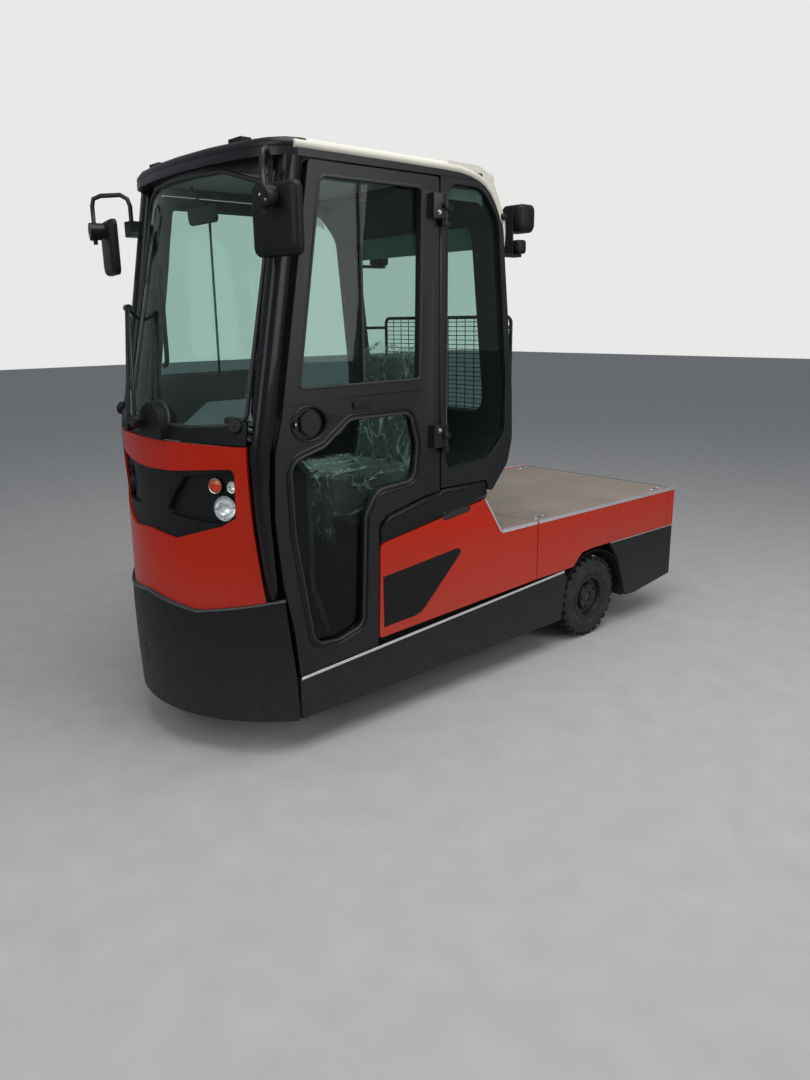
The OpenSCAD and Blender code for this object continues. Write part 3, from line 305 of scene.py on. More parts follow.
def repeat_tree():
    """One shape set on every point, turned as the point says."""
    tree, given, close = new_tree("repeated shape", ("Shape", "Object"), ("Size", "Float"),
                                  ("Finish", "Material"))
    shape = add(tree, "GeometryNodeObjectInfo", {"Object": given["Shape"]})
    turn = add(tree, "GeometryNodeInputNamedAttribute", {"Name": "turn"}, data_type="FLOAT_VECTOR")
    angles = add(tree, "FunctionNodeEulerToRotation", {0: turn.outputs[0]})
    size = add(tree, "ShaderNodeCombineXYZ", {axis: given["Size"] for axis in range(3)})
    return close(add(tree, "GeometryNodeInstanceOnPoints", {
        "Points": given["Geometry"], "Instance": shape.outputs["Geometry"], "Rotation": angles.outputs[0],
        "Scale": size.outputs[0]}))


repeated_shape = repeat_tree()


def repeated(name, template, spots, material, body="chassis", size=1.0):
    """Copies of one small shape, each at a point in metres with its turn about X, Y and Z."""
    shape = placed("template", outward(template))
    smoothed(shape, 35)
    start = bmesh.new()
    turn = start.verts.layers.float_vector.new("turn")
    for place, angles in spots:
        start.verts.new(place)[turn] = Vector(angles)
    values = {"Shape": shape, "Size": size, "Finish": material}
    piece = finished(name, start, repeated_shape, values, body)
    bpy.data.objects.remove(shape)
    return piece


def hexagon_bolt():
    """A bolt head 13 mm across its flats on a washer, that stands on its point along +Z."""
    shape = bmesh.new()
    turned(shape, [(0, -1), (10, -1), (10, 1.6), (9.4, 2), (0, 2)], Vector(), z_axis, 16)
    turned(shape, [(0, 1.8), (7.2, 1.8), (7.5, 2.4), (7.5, 7), (6.6, 8), (0, 8)], Vector(), z_axis, 6)
    return shape


def button_screw():
    """A domed screw head 10 mm across with a socket, that stands on its point along +Z."""
    shape = bmesh.new()
    turned(shape, [(0, -1), (5, -1), (5, 0.4), (4.4, 1.7), (3.2, 2.6), (2.2, 2.9), (2.0, 1.4), (0, 1.4)],
           Vector(), z_axis, 12)
    return shape


def worn_steel(name, code, rough):
    """Plated steel: a metal with a dull mottled face and brighter rubbed places."""
    tree, place, close = new_material(name)
    mottle = cloudy(tree, place, 45.0, 5.0)
    gloss = ranged(tree, mottle, 0.0, 1.0, rough + 0.12, rough - 0.1)
    shade = mixed(tree, mottle, linear(code), linear(code, 1.5))
    return close(surface(tree, shade, gloss, {"Metallic": 1.0}))


zinc = worn_steel("zinc-plated screws", "#a3a5a6", 0.35)
# The turns that point a screw up, backwards, or out on the left and the right side
upward = (0.0, 0.0, 0.0)
backward = (0.0, -math.pi / 2, 0.0)
sideways = {1: (-math.pi / 2, 0.0, 0.0), -1: (math.pi / 2, 0.0, 0.0)}
plate_low, plate_high = corners_of("rear_plate")
bolt_inset = 22
repeated("rear_plate_bolts", hexagon_bolt(), [
    (at(plate_low[0], side * y, z), backward) for side in (1, -1) for y in (180, 420)
    for z in (plate_low[2] + bolt_inset, plate_high[2] - bolt_inset)], zinc)

# Red side panels and hood
# Pressed and moulded panels in orange-red enamel, sprayed and polished. The paint gives sharp
# highlights over a faint orange peel, and gathers a little road dust near the sills.


def maths(tree, operation, first, second=0.0):
    """The result of one operation on one or two values."""
    return add(tree, "ShaderNodeMath", {0: first, 1: second}, operation=operation).outputs[0]


def dusted(tree, place, shade, specks, heights, dust, code):
    """A shade that gathers specks of dust between two heights in metres, and the dust's share."""
    height = add(tree, "ShaderNodeSeparateXYZ", {0: place}).outputs[2]
    share = maths(tree, "MULTIPLY", ranged(tree, height, heights[0], heights[1], 0.0, dust), specks)
    return mixed(tree, share, shade, linear(code)), share


def enamel(name, code, dust):
    """Sprayed enamel under a clear coat: deep colour, sharp highlights and a faint orange peel."""
    tree, place, close = new_material(name)
    shade = mixed(tree, cloudy(tree, place, 3.0, 4.0), linear(code, 0.86), linear(code))
    specks = cloudy(tree, place, 60.0, 6.0)
    shade, share = dusted(tree, place, shade, specks, (0.75, 0.25), dust, "#8f857a")
    peel = bumped(tree, cloudy(tree, place, 190.0, 1.0), 0.06, 0.001)
    return close(surface(tree, shade, ranged(tree, share, 0.0, 0.3, 0.3, 0.6), {
        "Normal": peel, "Specular IOR Level": 0.2, "Coat Weight": 0.16, "Coat Roughness": 0.04}))


red_enamel = enamel("orange-red enamel", "#bb2206", 0.3)
eased("nose_hood", "nose_hood_skin", red_enamel, 4.0, 40)
eased("side_panels", "side_panel_skins", red_enamel, 5.0, 40, 3)
eased("bed_sides", "bed_side_skins", red_enamel, 5.0, 40, 3)

# Dark mouldings
# Bumper, sills, skirts, side covers and the hood's insert are thick dark grey polyethylene,
# moulded with a fine grain, dull and a little scuffed low down.


def stretched(tree, place, scale):
    """The coordinates with a scale of their own along each axis."""
    return add(tree, "ShaderNodeMapping", {"Vector": place, "Scale": scale}).outputs[0]


def moulding(name, code, rough, dust):
    """Grained polyethylene: dull, with a leathery skin and pale scuffs where things rub."""
    tree, place, close = new_material(name)
    cloud = cloudy(tree, place, 9.0, 5.0)
    shade = mixed(tree, cloud, linear(code), linear(code, 1.3))
    scuffs = cloudy(tree, stretched(tree, place, (60.0, 60.0, 80.0)), 1.0, 4.0)
    shade = dusted(tree, place, shade, scuffs, (0.7, 0.15), dust, "#8b8681")[0]
    gloss = ranged(tree, cloud, 0.0, 1.0, rough - 0.06, rough + 0.08)
    # The real grain is 0.3 mm, drawn at 1.2 mm so that it shows
    grain = add(tree, "ShaderNodeTexVoronoi", {"Vector": place, "Scale": 800.0}).outputs[0]
    return close(surface(tree, shade, gloss, {
        "Normal": bumped(tree, grain, 0.12, 0.0005), "Specular IOR Level": 0.22}))


dark_moulding = moulding("grained dark polyethylene", "#101112", 0.46, 0.12)
for node, name in (("front_bumper", "front_bumper_moulding"), ("sills", "sill_mouldings"),
                   ("rear_skirts", "rear_skirt_mouldings"), ("side_covers", "side_cover_mouldings"),
                   ("grille_insert", "hood_insert_moulding"), ("cowl", "cowl_moulding")):
    eased(node, name, dark_moulding, 5.0, 40, 3)

# Cab frame
# Welded steel tube and plate in black powder coat: roof frame, sides and rear wall, with the
# front pillars in gloss black and moulded lamps on the roof.
gloss_black = enamel("gloss black enamel", "#0d0e11", 0.0)
eased("pillars", "front_pillars", gloss_black, 2.0, 45)
for node, name in (("roof_frame", "cab_roof_frame"), ("cab_sides", "cab_side_walls"),
                   ("rear_wall", "cab_rear_wall")):
    eased(node, name, black_coat, 3.0, 40)
eased("rear_brackets", "guard_stays_and_lamp_arms", black_coat, 2.0)
eased("roof_markers", "roof_marker_lamps", dark_moulding, 3.0, 40)

# Roof
# A glass-fibre laminate panel, laid up in a mould and gel coated cream. Smooth and half glossy.
cream_gelcoat = enamel("cream gelcoat", "#d2cfc3", 0.0)
eased("roof_panel", "roof_laminate", cream_gelcoat, 3.0, 40)

# Windows and their rubber
# Green-tinted safety glass, 5 mm thick, held all round in extruded black rubber gaskets.


def clear(tree, colour):
    """A plain see-through shader of a colour."""
    return add(tree, "ShaderNodeBsdfTransparent", {"Color": colour}).outputs[0]


def blended(tree, share, first, second):
    """Two shaders mixed by a share of the second."""
    return add(tree, "ShaderNodeMixShader", {0: share, 1: first, 2: second}).outputs[0]


def tinted_glass(name, code):
    """Float glass with an iron-green tint: clear, smooth, and it lets the lamps through."""
    tree, place, close = new_material(name)
    # Panes this thin hardly bend light, so the body's IOR is low and the coat gives the gloss
    glass = surface(tree, linear(code), 0.0, {
        "IOR": 1.02, "Transmission Weight": 1.0, "Coat Weight": 0.25, "Coat Roughness": 0.0,
        "Coat IOR": 1.52})
    rays = add(tree, "ShaderNodeLightPath").outputs
    soft = maths(tree, "MAXIMUM", rays["Is Shadow Ray"], rays["Is Diffuse Ray"])
    # Light meets a pane's tint on both faces, so one crossing takes its square root
    return close(blended(tree, soft, glass, clear(tree, tuple(math.sqrt(c) for c in linear(code)))))


window_glass = tinted_glass("green tinted safety glass", "#c9ded8")
for node, name in (("windscreen", "windscreen_pane"), ("cab_glass", "quarter_and_rear_panes"),
                   ("door_glass_left", "left_door_panes"), ("door_glass_right", "right_door_panes")):
    eased(node, name, window_glass, 0, 20, flat=0.02)


def face_loops(node, way, steep, depth):
    """The outlines of a CAD node's faces that look one way, in a depth in millimetres, longest first."""
    shape = merged(node)
    way = Vector(way)
    reach = max(vert.co.dot(way) for vert in shape.verts)
    chosen = {face for face in shape.faces if face.normal.dot(way) > steep
              and min(vert.co.dot(way) for vert in face.verts) > reach - depth / 1000}
    rim = [edge for edge in shape.edges if sum(face in chosen for face in edge.link_faces) == 1]
    near = {}
    for edge in rim:
        for vert in edge.verts:
            near.setdefault(vert, []).append(edge.other_vert(vert))
    loops = []
    while near:
        vert = next(iter(near))
        loop = []
        while vert is not None:
            loop.append(vert.co.copy())
            others = near.pop(vert)
            vert = next((other for other in others if other in near), None)
        loops.append(loop)
    shape.free()
    return sorted(loops, key=lambda loop: -sum((a - b).length for a, b in zip(loop, loop[1:] + loop[:1])))


def span(loop, axis):
    """How far a loop reaches along an axis, in metres."""
    return max(point[axis] for point in loop) - min(point[axis] for point in loop)


rubber_seat = 1.5


def grown(loop, way, wider):
    """A loop widened in its own plane by some millimetres, and sunk by what rubber is let in."""
    way = Vector(way)
    area = sum((loop[k - 1].cross(loop[k]) for k in range(len(loop))), Vector()).dot(way)
    sign = 1 if area > 0 else -1
    moved = []
    for k, point in enumerate(loop):
        before = (point - loop[k - 1]).normalized()
        after = (loop[(k + 1) % len(loop)] - point).normalized()
        bend = (before + after).normalized()
        spread = max(0.35, before.dot(bend))
        moved.append(point + sign * bend.cross(way) * wider / 1000 / spread - way * rubber_seat / 1000)
    return moved


def sweep_tree():
    """A round section swept along every path, as thick as each of its points says."""
    tree, given, close = new_tree("swept section", ("Radius", "Float"), ("Sides", "Int"),
                                  ("Finish", "Material"))
    path = add(tree, "GeometryNodeMeshToCurve", {0: given["Geometry"]})
    section = add(tree, "GeometryNodeCurvePrimitiveCircle", {
        "Resolution": given["Sides"], "Radius": given["Radius"]})
    width = add(tree, "GeometryNodeInputRadius")
    return close(add(tree, "GeometryNodeCurveToMesh", {
        "Curve": path.outputs[0], "Profile Curve": section.outputs[0], "Scale": width.outputs[0],
        "Fill Caps": True}))


swept_section = sweep_tree()


def swept(name, paths, radius, material, body="chassis", ring=True, sides=8, taper=None):
    """A round section of a radius in millimetres along paths of points, each a ring or open."""
    start = bmesh.new()
    width = start.verts.layers.float.new("radius")
    for path in paths:
        verts = [start.verts.new(point) for point in path]
        for k, vert in enumerate(verts):
            vert[width] = taper[k] if taper else 1.0
        for near, far in zip(verts, verts[1:]):
            start.edges.new((near, far))
        if ring:
            start.edges.new((verts[-1], verts[0]))
    values = {"Radius": radius / 1000, "Sides": sides, "Finish": material}
    return finished(name, start, swept_section, values, body, 50)


def moulded_rubber(name, code, rough):
    """Extruded or moulded rubber: matt black with a faint bloom and a finely pitted skin."""
    tree, place, close = new_material(name)
    shade = mixed(tree, cloudy(tree, place, 14.0, 4.0), linear(code), linear(code, 1.6))
    skin = bumped(tree, cloudy(tree, place, 900.0), 0.1, 0.0004)
    return close(surface(tree, shade, rough, {"Normal": skin}))


gasket_rubber = moulded_rubber("black window rubber", "#18181a", 0.5)
quarter_paths = []
for side, word in both_sides:
    door = word + "_door"
    way = (0, side, 0)
    panes = [loop for loop in face_loops("door_" + word, way, 0.98, 40)[1:] if span(loop, 2) > 0.3]
    swept(door + "_gaskets", [grown(loop, way, 1.0) for loop in panes], 6.0, gasket_rubber,
          door)
    low_pane = min(panes, key=lambda loop: min(point.z for point in loop))
    swept(door + "_lower_lip", [grown(low_pane, way, 17.0)], 6.5, gloss_black, door)
    quarter_paths += [grown(loop, way, 1.0) for loop in face_loops("cab_sides", way, 0.98, 40)
                      if 0.6 < span(loop, 2) < 1.12]
swept("quarter_window_gaskets", quarter_paths, 6.0, gasket_rubber)
screen_rim = face_loops("windscreen", x_axis, 0.3, 600)[:1]
swept("windscreen_gasket", screen_rim, 9.0, gasket_rubber)
back_rim = face_loops("cab_glass", -x_axis, 0.5, 600)[:1]
swept("rear_window_gasket", back_rim, 6.5, gasket_rubber)

# Roof edge
# The panel's turned edge is a rounded cream bead: it runs straight back over the door, then
# follows the cab's curve down behind the quarter window and thins out there.
bead_path = ((1716, 2136), (1500, 2136), (1250, 2135), (1040, 2133), (960, 2130), (905, 2122), (860, 2110),
             (822, 2092), (790, 2066), (764, 2033), (744, 1996), (729, 1955), (718, 1912), (711, 1868))
bead_taper = [1.0] * 7 + [0.95, 0.88, 0.8, 0.7, 0.58, 0.42, 0.2]
for side, word in both_sides:
    swept(word + "_roof_edge_bead", [[at(x, side * (half_width - 8), z) for x, z in bead_path]], 14.0,
          cream_gelcoat, "chassis", False, 16, bead_taper)

# Bumper edge
# A round bead moulded along the bumper's top edge, smoother than the rest and coloured paler as a painted
# highlight.
bumper_rim = face_loops("front_bumper", z_axis, 0.6, 90)[:1]
# The bead's pale grey-blue colour is a painted highlight along the bumper's top edge
highlit_bumper_edge = powder_coat("bumper edge with painted highlight", "#3a3f42", 0.34, 700.0, 0.5)
swept("bumper_top_bead", bumper_rim, 4.5, highlit_bumper_edge)

# Printed bands in the quarter windows
# Fired grey ceramic lines along the top of each pane, 2 mm wide, that shade the driver.
square = ((-1, -1), (1, -1), (1, 1), (-1, 1))


def plate(shape, outline, along):
    """Adds a plate to a mesh: a flat outline of points, and how far it reaches, in metres."""
    near = [shape.verts.new(point) for point in outline]
    far = [shape.verts.new(Vector(point) + along) for point in outline]
    shape.faces.new(near)
    shape.faces.new(list(reversed(far)))
    for k in range(len(near)):
        nxt = (k + 1) % len(near)
        shape.faces.new((near[k], far[k], far[nxt], near[nxt]))


ceramic_print = powder_coat("fired ceramic print", "#7d807f", 0.5, 900.0)
line = bmesh.new()
plate(line, [Vector((a * 0.0011, b * 0.0006, -0.021)) for a, b in square], z_axis * 0.042)
repeated("quarter_window_print", line, [
    (at(x, side * 522.2, 2044 - max(0, 850 - x) * 0.6), upward) for side in (1, -1)
    for x in range(828, 1036, 6)], ceramic_print)

# Door fittings
# A paddle handle in an oval recess with a lock, caps and bolts on the cast hinges, a latch on the
# sliding window, a rubber strip where its two panes overlap, and stops on the quarter window.
eased("door_left", "left_door_shell", black_coat, 4.0, 40, 3)
eased("door_right", "right_door_shell", black_coat, 4.0, 40, 3)
handle_x = 1705.0
handle_z = 1238.0
recess_floor = 526.0
door_face = 540.0
latch_x = 1466
latch_z = 1287


def bar(shape, side, x, y, z):
    """Adds a square-cut bar to a mesh on one side, between two millimetres along each axis."""
    corners = [at(a, side * b, z[0]) for a, b in ((x[0], y[0]), (x[1], y[0]), (x[1], y[1]), (x[0], y[1]))]
    plate(shape, corners, z_axis * ((z[1] - z[0]) / 1000))


def turned_piece(name, profile, places, material, body="chassis", steps=24, loop=False, angle=30):
    """A piece of turned forms with one profile, each at its centre about its axis."""
    shape = bmesh.new()
    for centre, axis in places:
        turned(shape, profile, centre, axis, steps, loop)
    return closed_piece(name, outward(shape), material, body, angle)


def plate_piece(name, plates, material, body="chassis", edge=0.0, steps=2):
    """A piece of plates, each an outline and its reach, with edges rounded by some millimetres."""
    shape = bmesh.new()
    for outline, along in plates:
        plate(shape, outline, along)
    piece = closed_piece(name, outward(shape), material, body)
    return rounded(piece, edge, steps) if edge else piece


def rounded_outline(middle, wide, high, corner, across, up, steps=6):
    """A rounded rectangle in metres, its sizes in millimetres, in the plane of two directions."""
    points = []
    for k, (a, b) in enumerate(((1, 1), (-1, 1), (-1, -1), (1, -1))):
        for step in range(steps + 1):
            turn = math.pi / 2 * (k + step / steps)
            points.append(middle + Vector(across) * (a * (wide / 2 - corner) + corner * math.cos(turn)) / 1000
                          + Vector(up) * (b * (high / 2 - corner) + corner * math.sin(turn)) / 1000)
    return points


def landing(node, point, way, far=0.4):
    """Where a line along a direction first meets a CAD node, coming in towards a point."""
    source = merged(node)
    skin = BVHTree.FromBMesh(source)
    source.free()
    way = Vector(way)
    hit = skin.ray_cast(point + way * far, -way)[0]
    return hit if hit is not None else point


for side, word in both_sides:
    door = word + "_door"
    way = y_axis * side
    paddle = rounded_outline(at(handle_x - 12, side * (recess_floor + 1), handle_z), 84, 62, 14,
                             x_axis, z_axis)
    plate_piece(door + "_paddle", [(paddle, way * 0.009)], dark_moulding, door, 3.0, 3)
    lock_places = [(at(handle_x + 48, side * recess_floor, handle_z), way)]
    turned_piece(door + "_lock_collar", [(5, -2), (9.5, -2), (9.5, 9), (8, 11), (5, 9)], lock_places,
                 dark_moulding, door, 24, True)
    turned_piece(door + "_lock", [(0, -2), (5, -2), (5, 8), (1.6, 8.4), (1.4, 6), (0, 6)], lock_places,
                 zinc, door, 16)
    recess = [loop for loop in face_loops("door_" + word, way, 0.98, 40) if span(loop, 2) < 0.2][:1]
    swept(door + "_handle_lip", recess, 5.0, gloss_black, door)
    edge_bar = bmesh.new()
    bar(edge_bar, side, (1436, 1446), (521, 528), (1362, 2043))
    rounded(closed_piece(door + "_pane_edge", outward(edge_bar), gasket_rubber, door), 2.0)
    latch = rounded_outline(at(latch_x, side * (door_face - 1), latch_z), 86, 30, 10, x_axis, z_axis)
    plate_piece(door + "_window_latch", [(latch, way * 0.009)], dark_moulding, door, 2.5)
    repeated(door + "_latch_screws", button_screw(), [
        (at(latch_x + x, side * (door_face + 8), latch_z), sideways[side]) for x in (-28, 0, 28)],
        gasket_rubber, door, 0.9)
    press_line = [at(x, side * door_face, z) for x, z in ((1176, 1322), (1480, 1318), (1800, 1306))]
    swept(door + "_press_line", [press_line], 2.5, gloss_black, door, False)
    turned_piece(door + "_hinge_knobs", [(0, -6), (15, -6), (16, 0), (16, 6), (13, 10), (6, 11.5), (0, 12)],
                 [(at(1066, side * 572, z), way) for z in (1138, 1990)], dark_moulding, door)
    repeated(door + "_hinge_bolts", hexagon_bolt(), [
        (landing("door_" + word, at(1099, side * door_face, z), way), sideways[side]) for z in (1161, 1967)],
        zinc, door, 0.9)
    turned_piece(word + "_quarter_window_stops", [(0, -3), (13, -3), (14, 1), (14, 8), (11, 13), (0, 14.5)],
                 [(at(x, side * y, z), way) for x, y, z in ((1008, 527, 1987), (721, 538.5, 1978))],
                 dark_moulding)

# Side trims
# Extruded aluminium strips cover the deck's edges and the sill, fixed with their screws hidden,
# and a dark inlay lies in the red panel behind the door.
aluminium = worn_steel("anodised aluminium trim", "#d6d8d8", 0.34)
inlay_film = powder_coat("dark inlay film", "#151416", 0.24, 900.0, 0.18)
inlay_shape = ((1380, 612), (1180, 631), (975, 652), (958, 648), (950, 634), (960, 620), (1158, 436),
               (1178, 422), (1207, 412), (1380, 403))
slot_shape = ((1064, 785), (1045, 809), (919, 826), (886, 811), (905, 796), (1033, 784))


def sill_top(x):
    """The height of the sills' sloping top edge."""
    return 398.0 - (x - 236) * 0.0592


def upright(side, y, shape, thick):
    """A plate upright on one side: an outline of pairs along x and z, and its reach outwards."""
    return [at(x, side * y, z) for x, z in shape], y_axis * (side * thick / 1000)


for side, word in both_sides:
    trim = bmesh.new()
    for length in ((-706, 440), (450, 690)):
        bar(trim, side, length, (525, 541), (675.5, 680))
        bar(trim, side, length, (539.8, 541), (667, 676))
    plate(trim, *upright(side, 539.5, ((692, 676), (797, 836), (804, 834), (700, 674)), 1.5))
    bar(trim, side, (-704, -140), (531, 541.5), (467.6, 471.4))
    rounded(closed_piece(word + "_deck_edge_trim", outward(trim), aluminium), 0.8)
    strip = [(x, sill_top(x) + rise) for x, rise in ((238, 3), (1782, 3), (1782, -8), (238, -8))]
    plate_piece(word + "_sill_trim", [upright(side, half_width - 1, strip, 3.5)], aluminium,
                edge=0.8)
    plate_piece(word + "_side_inlay", [upright(side, half_width - 0.5, inlay_shape, 1.5)], inlay_film,
                edge=0.5)
    plate_piece(word + "_grip_slot_liner", [upright(side, 528.3, slot_shape, 8)], gasket_rubber)
    ridge = [loop for loop in face_loops("side_covers", (0, side, 0), 0.98, 4)
             if sum(point.y for point in loop) * side > 0][:1]
    swept(word + "_cover_lip", [grown(loop, (0, side, 0), -9.0) for loop in ridge], 5.0, gloss_black)

# Wire guard
# A welded mesh of 4 mm wire in a 16 mm tube frame stands behind the rear window.
guard_low, guard_high = corners_of("rear_guard")
tube = (guard_high[0] - guard_low[0]) / 2
guard_x = guard_low[0] + tube
low_y, high_y = guard_low[1] + tube, guard_high[1] - tube
low_z, high_z = guard_low[2] + tube, guard_high[2] - tube
guard_frame = rounded_outline(at(guard_x, 0, (low_z + high_z) / 2), high_y - low_y, high_z - low_z, 26,
                              y_axis, z_axis)
guard_tube = swept("rear_guard_frame", [guard_frame], tube - 0.3, black_coat, sides=16)
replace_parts(guard_tube, "rear_guard")
uprights = 15
crossings = 24
wires = []
for k in range(1, uprights):
    y = low_y + k * (high_y - low_y) / uprights
    wires.append([at(guard_x - 2, y, low_z), at(guard_x - 2, y, high_z)])
for k in range(1, crossings):
    z = low_z + k * (high_z - low_z) / crossings
    wires.append([at(guard_x + 2, low_y, z), at(guard_x + 2, high_y, z)])
swept("rear_guard_wires", wires, 2.1, black_coat, ring=False, sides=6)

# Lamps
# Headlamps, marker lamps and indicators have chromed bowls behind polycarbonate lenses. The
# work lamps and the red tail lamps are moulded boxes with a lens face.


def lens_plastic(name, code, clear_part):
    """Polycarbonate: glossy and clear, tinted in the mass, with fine flutes on its inner face."""
    tree, place, close = new_material(name)
    flutes = add(tree, "ShaderNodeTexWave", {"Vector": place, "Scale": 60.0}, bands_direction="Y").outputs[1]
    shell = surface(tree, linear(code), 0.06, {
        "IOR": 1.58, "Transmission Weight": clear_part, "Normal": bumped(tree, flutes, 0.25, 0.001)})
    shadows = add(tree, "ShaderNodeLightPath").outputs["Is Shadow Ray"]
    return close(blended(tree, shadows, shell, clear(tree, linear(code))))


clear_lens = lens_plastic("clear polycarbonate lens", "#f0f3f4", 0.95)
amber_lens = lens_plastic("amber polycarbonate lens", "#e8641a", 0.75)
red_lens = lens_plastic("red polycarbonate lens", "#a3120f", 0.3)
chrome = worn_steel("chromed reflector", "#c9cccd", 0.15)
bowls, lenses, ambers, collars = [bmesh.new() for kind in range(4)]
# Place and radius of the headlamps, the indicators and the marker lamps
nose_lamps = ((1962.7, 380.0, 952.0, 45.7, lenses), (1974.9, 344.0, 1029.0, 27.6, ambers),
              (1947.8, 414.0, 1030.0, 21.6, lenses))
for x, y, z, r, glass in nose_lamps:
    for side in (1, -1):
        face = at(x, side * y, z)
        aim = (0.86, side * 0.5, 0.1)
        turned(collars, [(0.8 * r, -0.8 * r), (1.09 * r, -0.8 * r), (1.09 * r, 1.0), (1.06 * r, 3.0),
                         (0.97 * r, 3.0), (0.95 * r, 0.0)], face, aim, 40, True)
        turned(bowls, [(0, -0.7 * r), (0.35 * r, -0.66 * r), (0.68 * r, -0.42 * r), (0.86 * r, -0.1 * r),
                       (0.9 * r, 0), (r, 0.5), (r, -0.75 * r), (0, -0.75 * r)], face, aim, 40)
        turned(glass, [(0, 5), (0.3 * r, 4.6), (0.6 * r, 3.2), (0.84 * r, 0.8), (0.9 * r, -1.5),
                       (0.82 * r, -2), (0.6 * r, 0.2), (0.3 * r, 1.6), (0, 2)], face, aim, 40)
        turned(bowls, [(0, -0.66 * r), (0.12 * r, -0.64 * r), (0.14 * r, -0.3 * r), (0.08 * r, -0.2 * r),
                       (0, -0.18 * r)], face, aim, 16)
nose_bowls = closed_piece("nose_lamp_bowls", outward(bowls), chrome)
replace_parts(nose_bowls, "front_lamps")
closed_piece("nose_lamp_collars", outward(collars), dark_moulding, angle=40)
closed_piece("headlamp_lenses", outward(lenses), clear_lens)
closed_piece("indicator_lenses", outward(ambers), amber_lens)
back_lamps = eased("rear_lamps", "work_and_tail_lamps", dark_moulding, 2.0, 40)
back_lamps.data.materials.append(red_lens)
for face in back_lamps.data.polygons:
    face.material_index = 1 if face.center.x < at(-600, 0, 0).x else 0
work_faces = []
for side in (1, -1):
    work_faces += [
        (rounded_outline(at(485, side * 448, 1990), 92, 86, 20, y_axis, z_axis), x_axis * -0.004),
        (rounded_outline(at(523, side * 448, 1876.3), 76, 38, 12, y_axis, z_axis), x_axis * -0.003)]
frosted_lens = lens_plastic("frosted work lamp lens", "#cdd3d6", 0.2)
plate_piece("work_lamp_lenses", work_faces, frosted_lens, edge=1.2)

# Mirrors
# Moulded heads on bent steel tube, each held in a round clamp by two screws, with flat glass.
eased("mirror_arms", "mirror_tubes", black_coat, 0)
eased("mirror_heads", "mirror_housings", dark_moulding, 4.0, 30, 3)
clamp_places = []
clamp_screws = []
for side in (1, -1):
    face = at(1909, side * 657, 1944)
    aim = Vector((0.96, side * 0.28, 0.0)).normalized()
    clamp_places.append((face, aim))
    for turn in (0.6, 0.6 + math.pi):
        across = z_axis * math.sin(turn) + aim.cross(z_axis) * math.cos(turn)
        clamp_screws.append((face + aim * 0.0158 + across * 0.013, (0.0, math.pi / 2, side * 0.284)))
clamp_profile = [(0, -30), (25, -30), (26, -10), (28, -8), (28, 12), (26, 15), (19, 16), (0, 16)]
turned_piece("mirror_clamps", clamp_profile, clamp_places, dark_moulding, steps=32, angle=40)
repeated("mirror_clamp_screws", button_screw(), clamp_screws, zinc, size=0.9)
glasses = []
for loop in face_loops("mirror_heads", -x_axis, 0.9, 60)[:2]:
    middle = sum(loop, Vector()) / len(loop)
    facing = sum(((loop[k - 1] - middle).cross(loop[k] - middle) for k in range(len(loop))), Vector())
    facing = facing.normalized() * (1 if facing.x < 0 else -1)
    glasses.append(([middle + (point - middle) * 0.9 - facing * 0.0005 for point in loop], facing * 0.002))
mirror_silver = worn_steel("silvered mirror glass", "#cfd5d8", 0.12)
plate_piece("mirror_glasses", glasses, mirror_silver)

# Wiper
# A pantograph arm of pressed steel on two spindles, with a rubber blade. Two moulded screw caps
# close the cowl's ends beside it.
eased("wiper", "wiper_linkage", black_coat, 0)
cap_aims = [Vector((0.75, side * 0.6, 0.3)).normalized() for side in (1, -1)]
turned_piece("cowl_end_caps", [(0, -8), (24, -8), (26, -2), (26, 8), (21, 14), (9, 15), (8, 20), (0, 21)],
             [(landing("cowl", at(1925, math.copysign(440, aim.y), 1236), aim), aim) for aim in cap_aims],
             dark_moulding, steps=28, angle=40)

# Deck
# Two boards of birch plywood with a brown phenolic film face, worn grey-brown by boxes, held by
# button-head screws let into them, with folding lashing rings in sunk pockets.


def film_plywood():
    """Film-faced plywood: a brown resin film, pressed and half dull, scratched along the load's way."""
    tree, place, close = new_material("film-faced plywood")
    cloud = cloudy(tree, place, 5.0, 6.0)
    shade = mixed(tree, cloud, linear("#766b5e"), linear("#9c8f80"))
    scratch = cloudy(tree, stretched(tree, place, (6.0, 300.0, 1.0)), 1.0, 3.0)
    face = mixed(tree, ranged(tree, scratch, 0.55, 0.75, 0.0, 0.35), shade, linear("#b7ab9b"))
    return close(surface(tree, face, ranged(tree, cloud, 0.0, 1.0, 0.42, 0.62), {
        "Normal": bumped(tree, scratch, 0.15, 0.0005)}))


eased("deck_boards", "deck_plywood", film_plywood(), 1.5)
deck_top = corners_of("deck_boards")[1][2]
repeated("deck_screws", button_screw(), [
    (at(x, y, deck_top - 1.6), upward) for y in (-480, -160, 160, 480)
    for x in (-660, -380, -110, 100, 280, 480, 650)], zinc, size=1.1)
rings = []
trays = []
for loop in face_loops("deck_boards", z_axis, 0.98, 1)[2:]:
    middle = sum(loop, Vector()) / len(loop)
    if 0.05 < span(loop, 0) < 0.2 or 0.05 < span(loop, 1) < 0.2:
        wide, other = (x_axis, y_axis) if span(loop, 0) > 0.05 else (y_axis, x_axis)
        rings.append(rounded_outline(middle - z_axis * 0.002, 76, 22, 10, wide, other))
        trays.append((rounded_outline(middle - z_axis * 0.0058, 82, 28, 6, wide, other), z_axis * 0.001))
swept("lashing_rings", rings, 3.5, chrome, sides=10)
plate_piece("lashing_ring_trays", trays, gasket_rubber)

# Tow coupling
# Flange and jaw plates flame-cut from thick plate, zinc plated and rubbed bright by drawbars.
plated_steel = worn_steel("zinc-plated steel", "#8d8f91", 0.42)
eased("tow_coupling", "tow_jaw", plated_steel, 2.0)

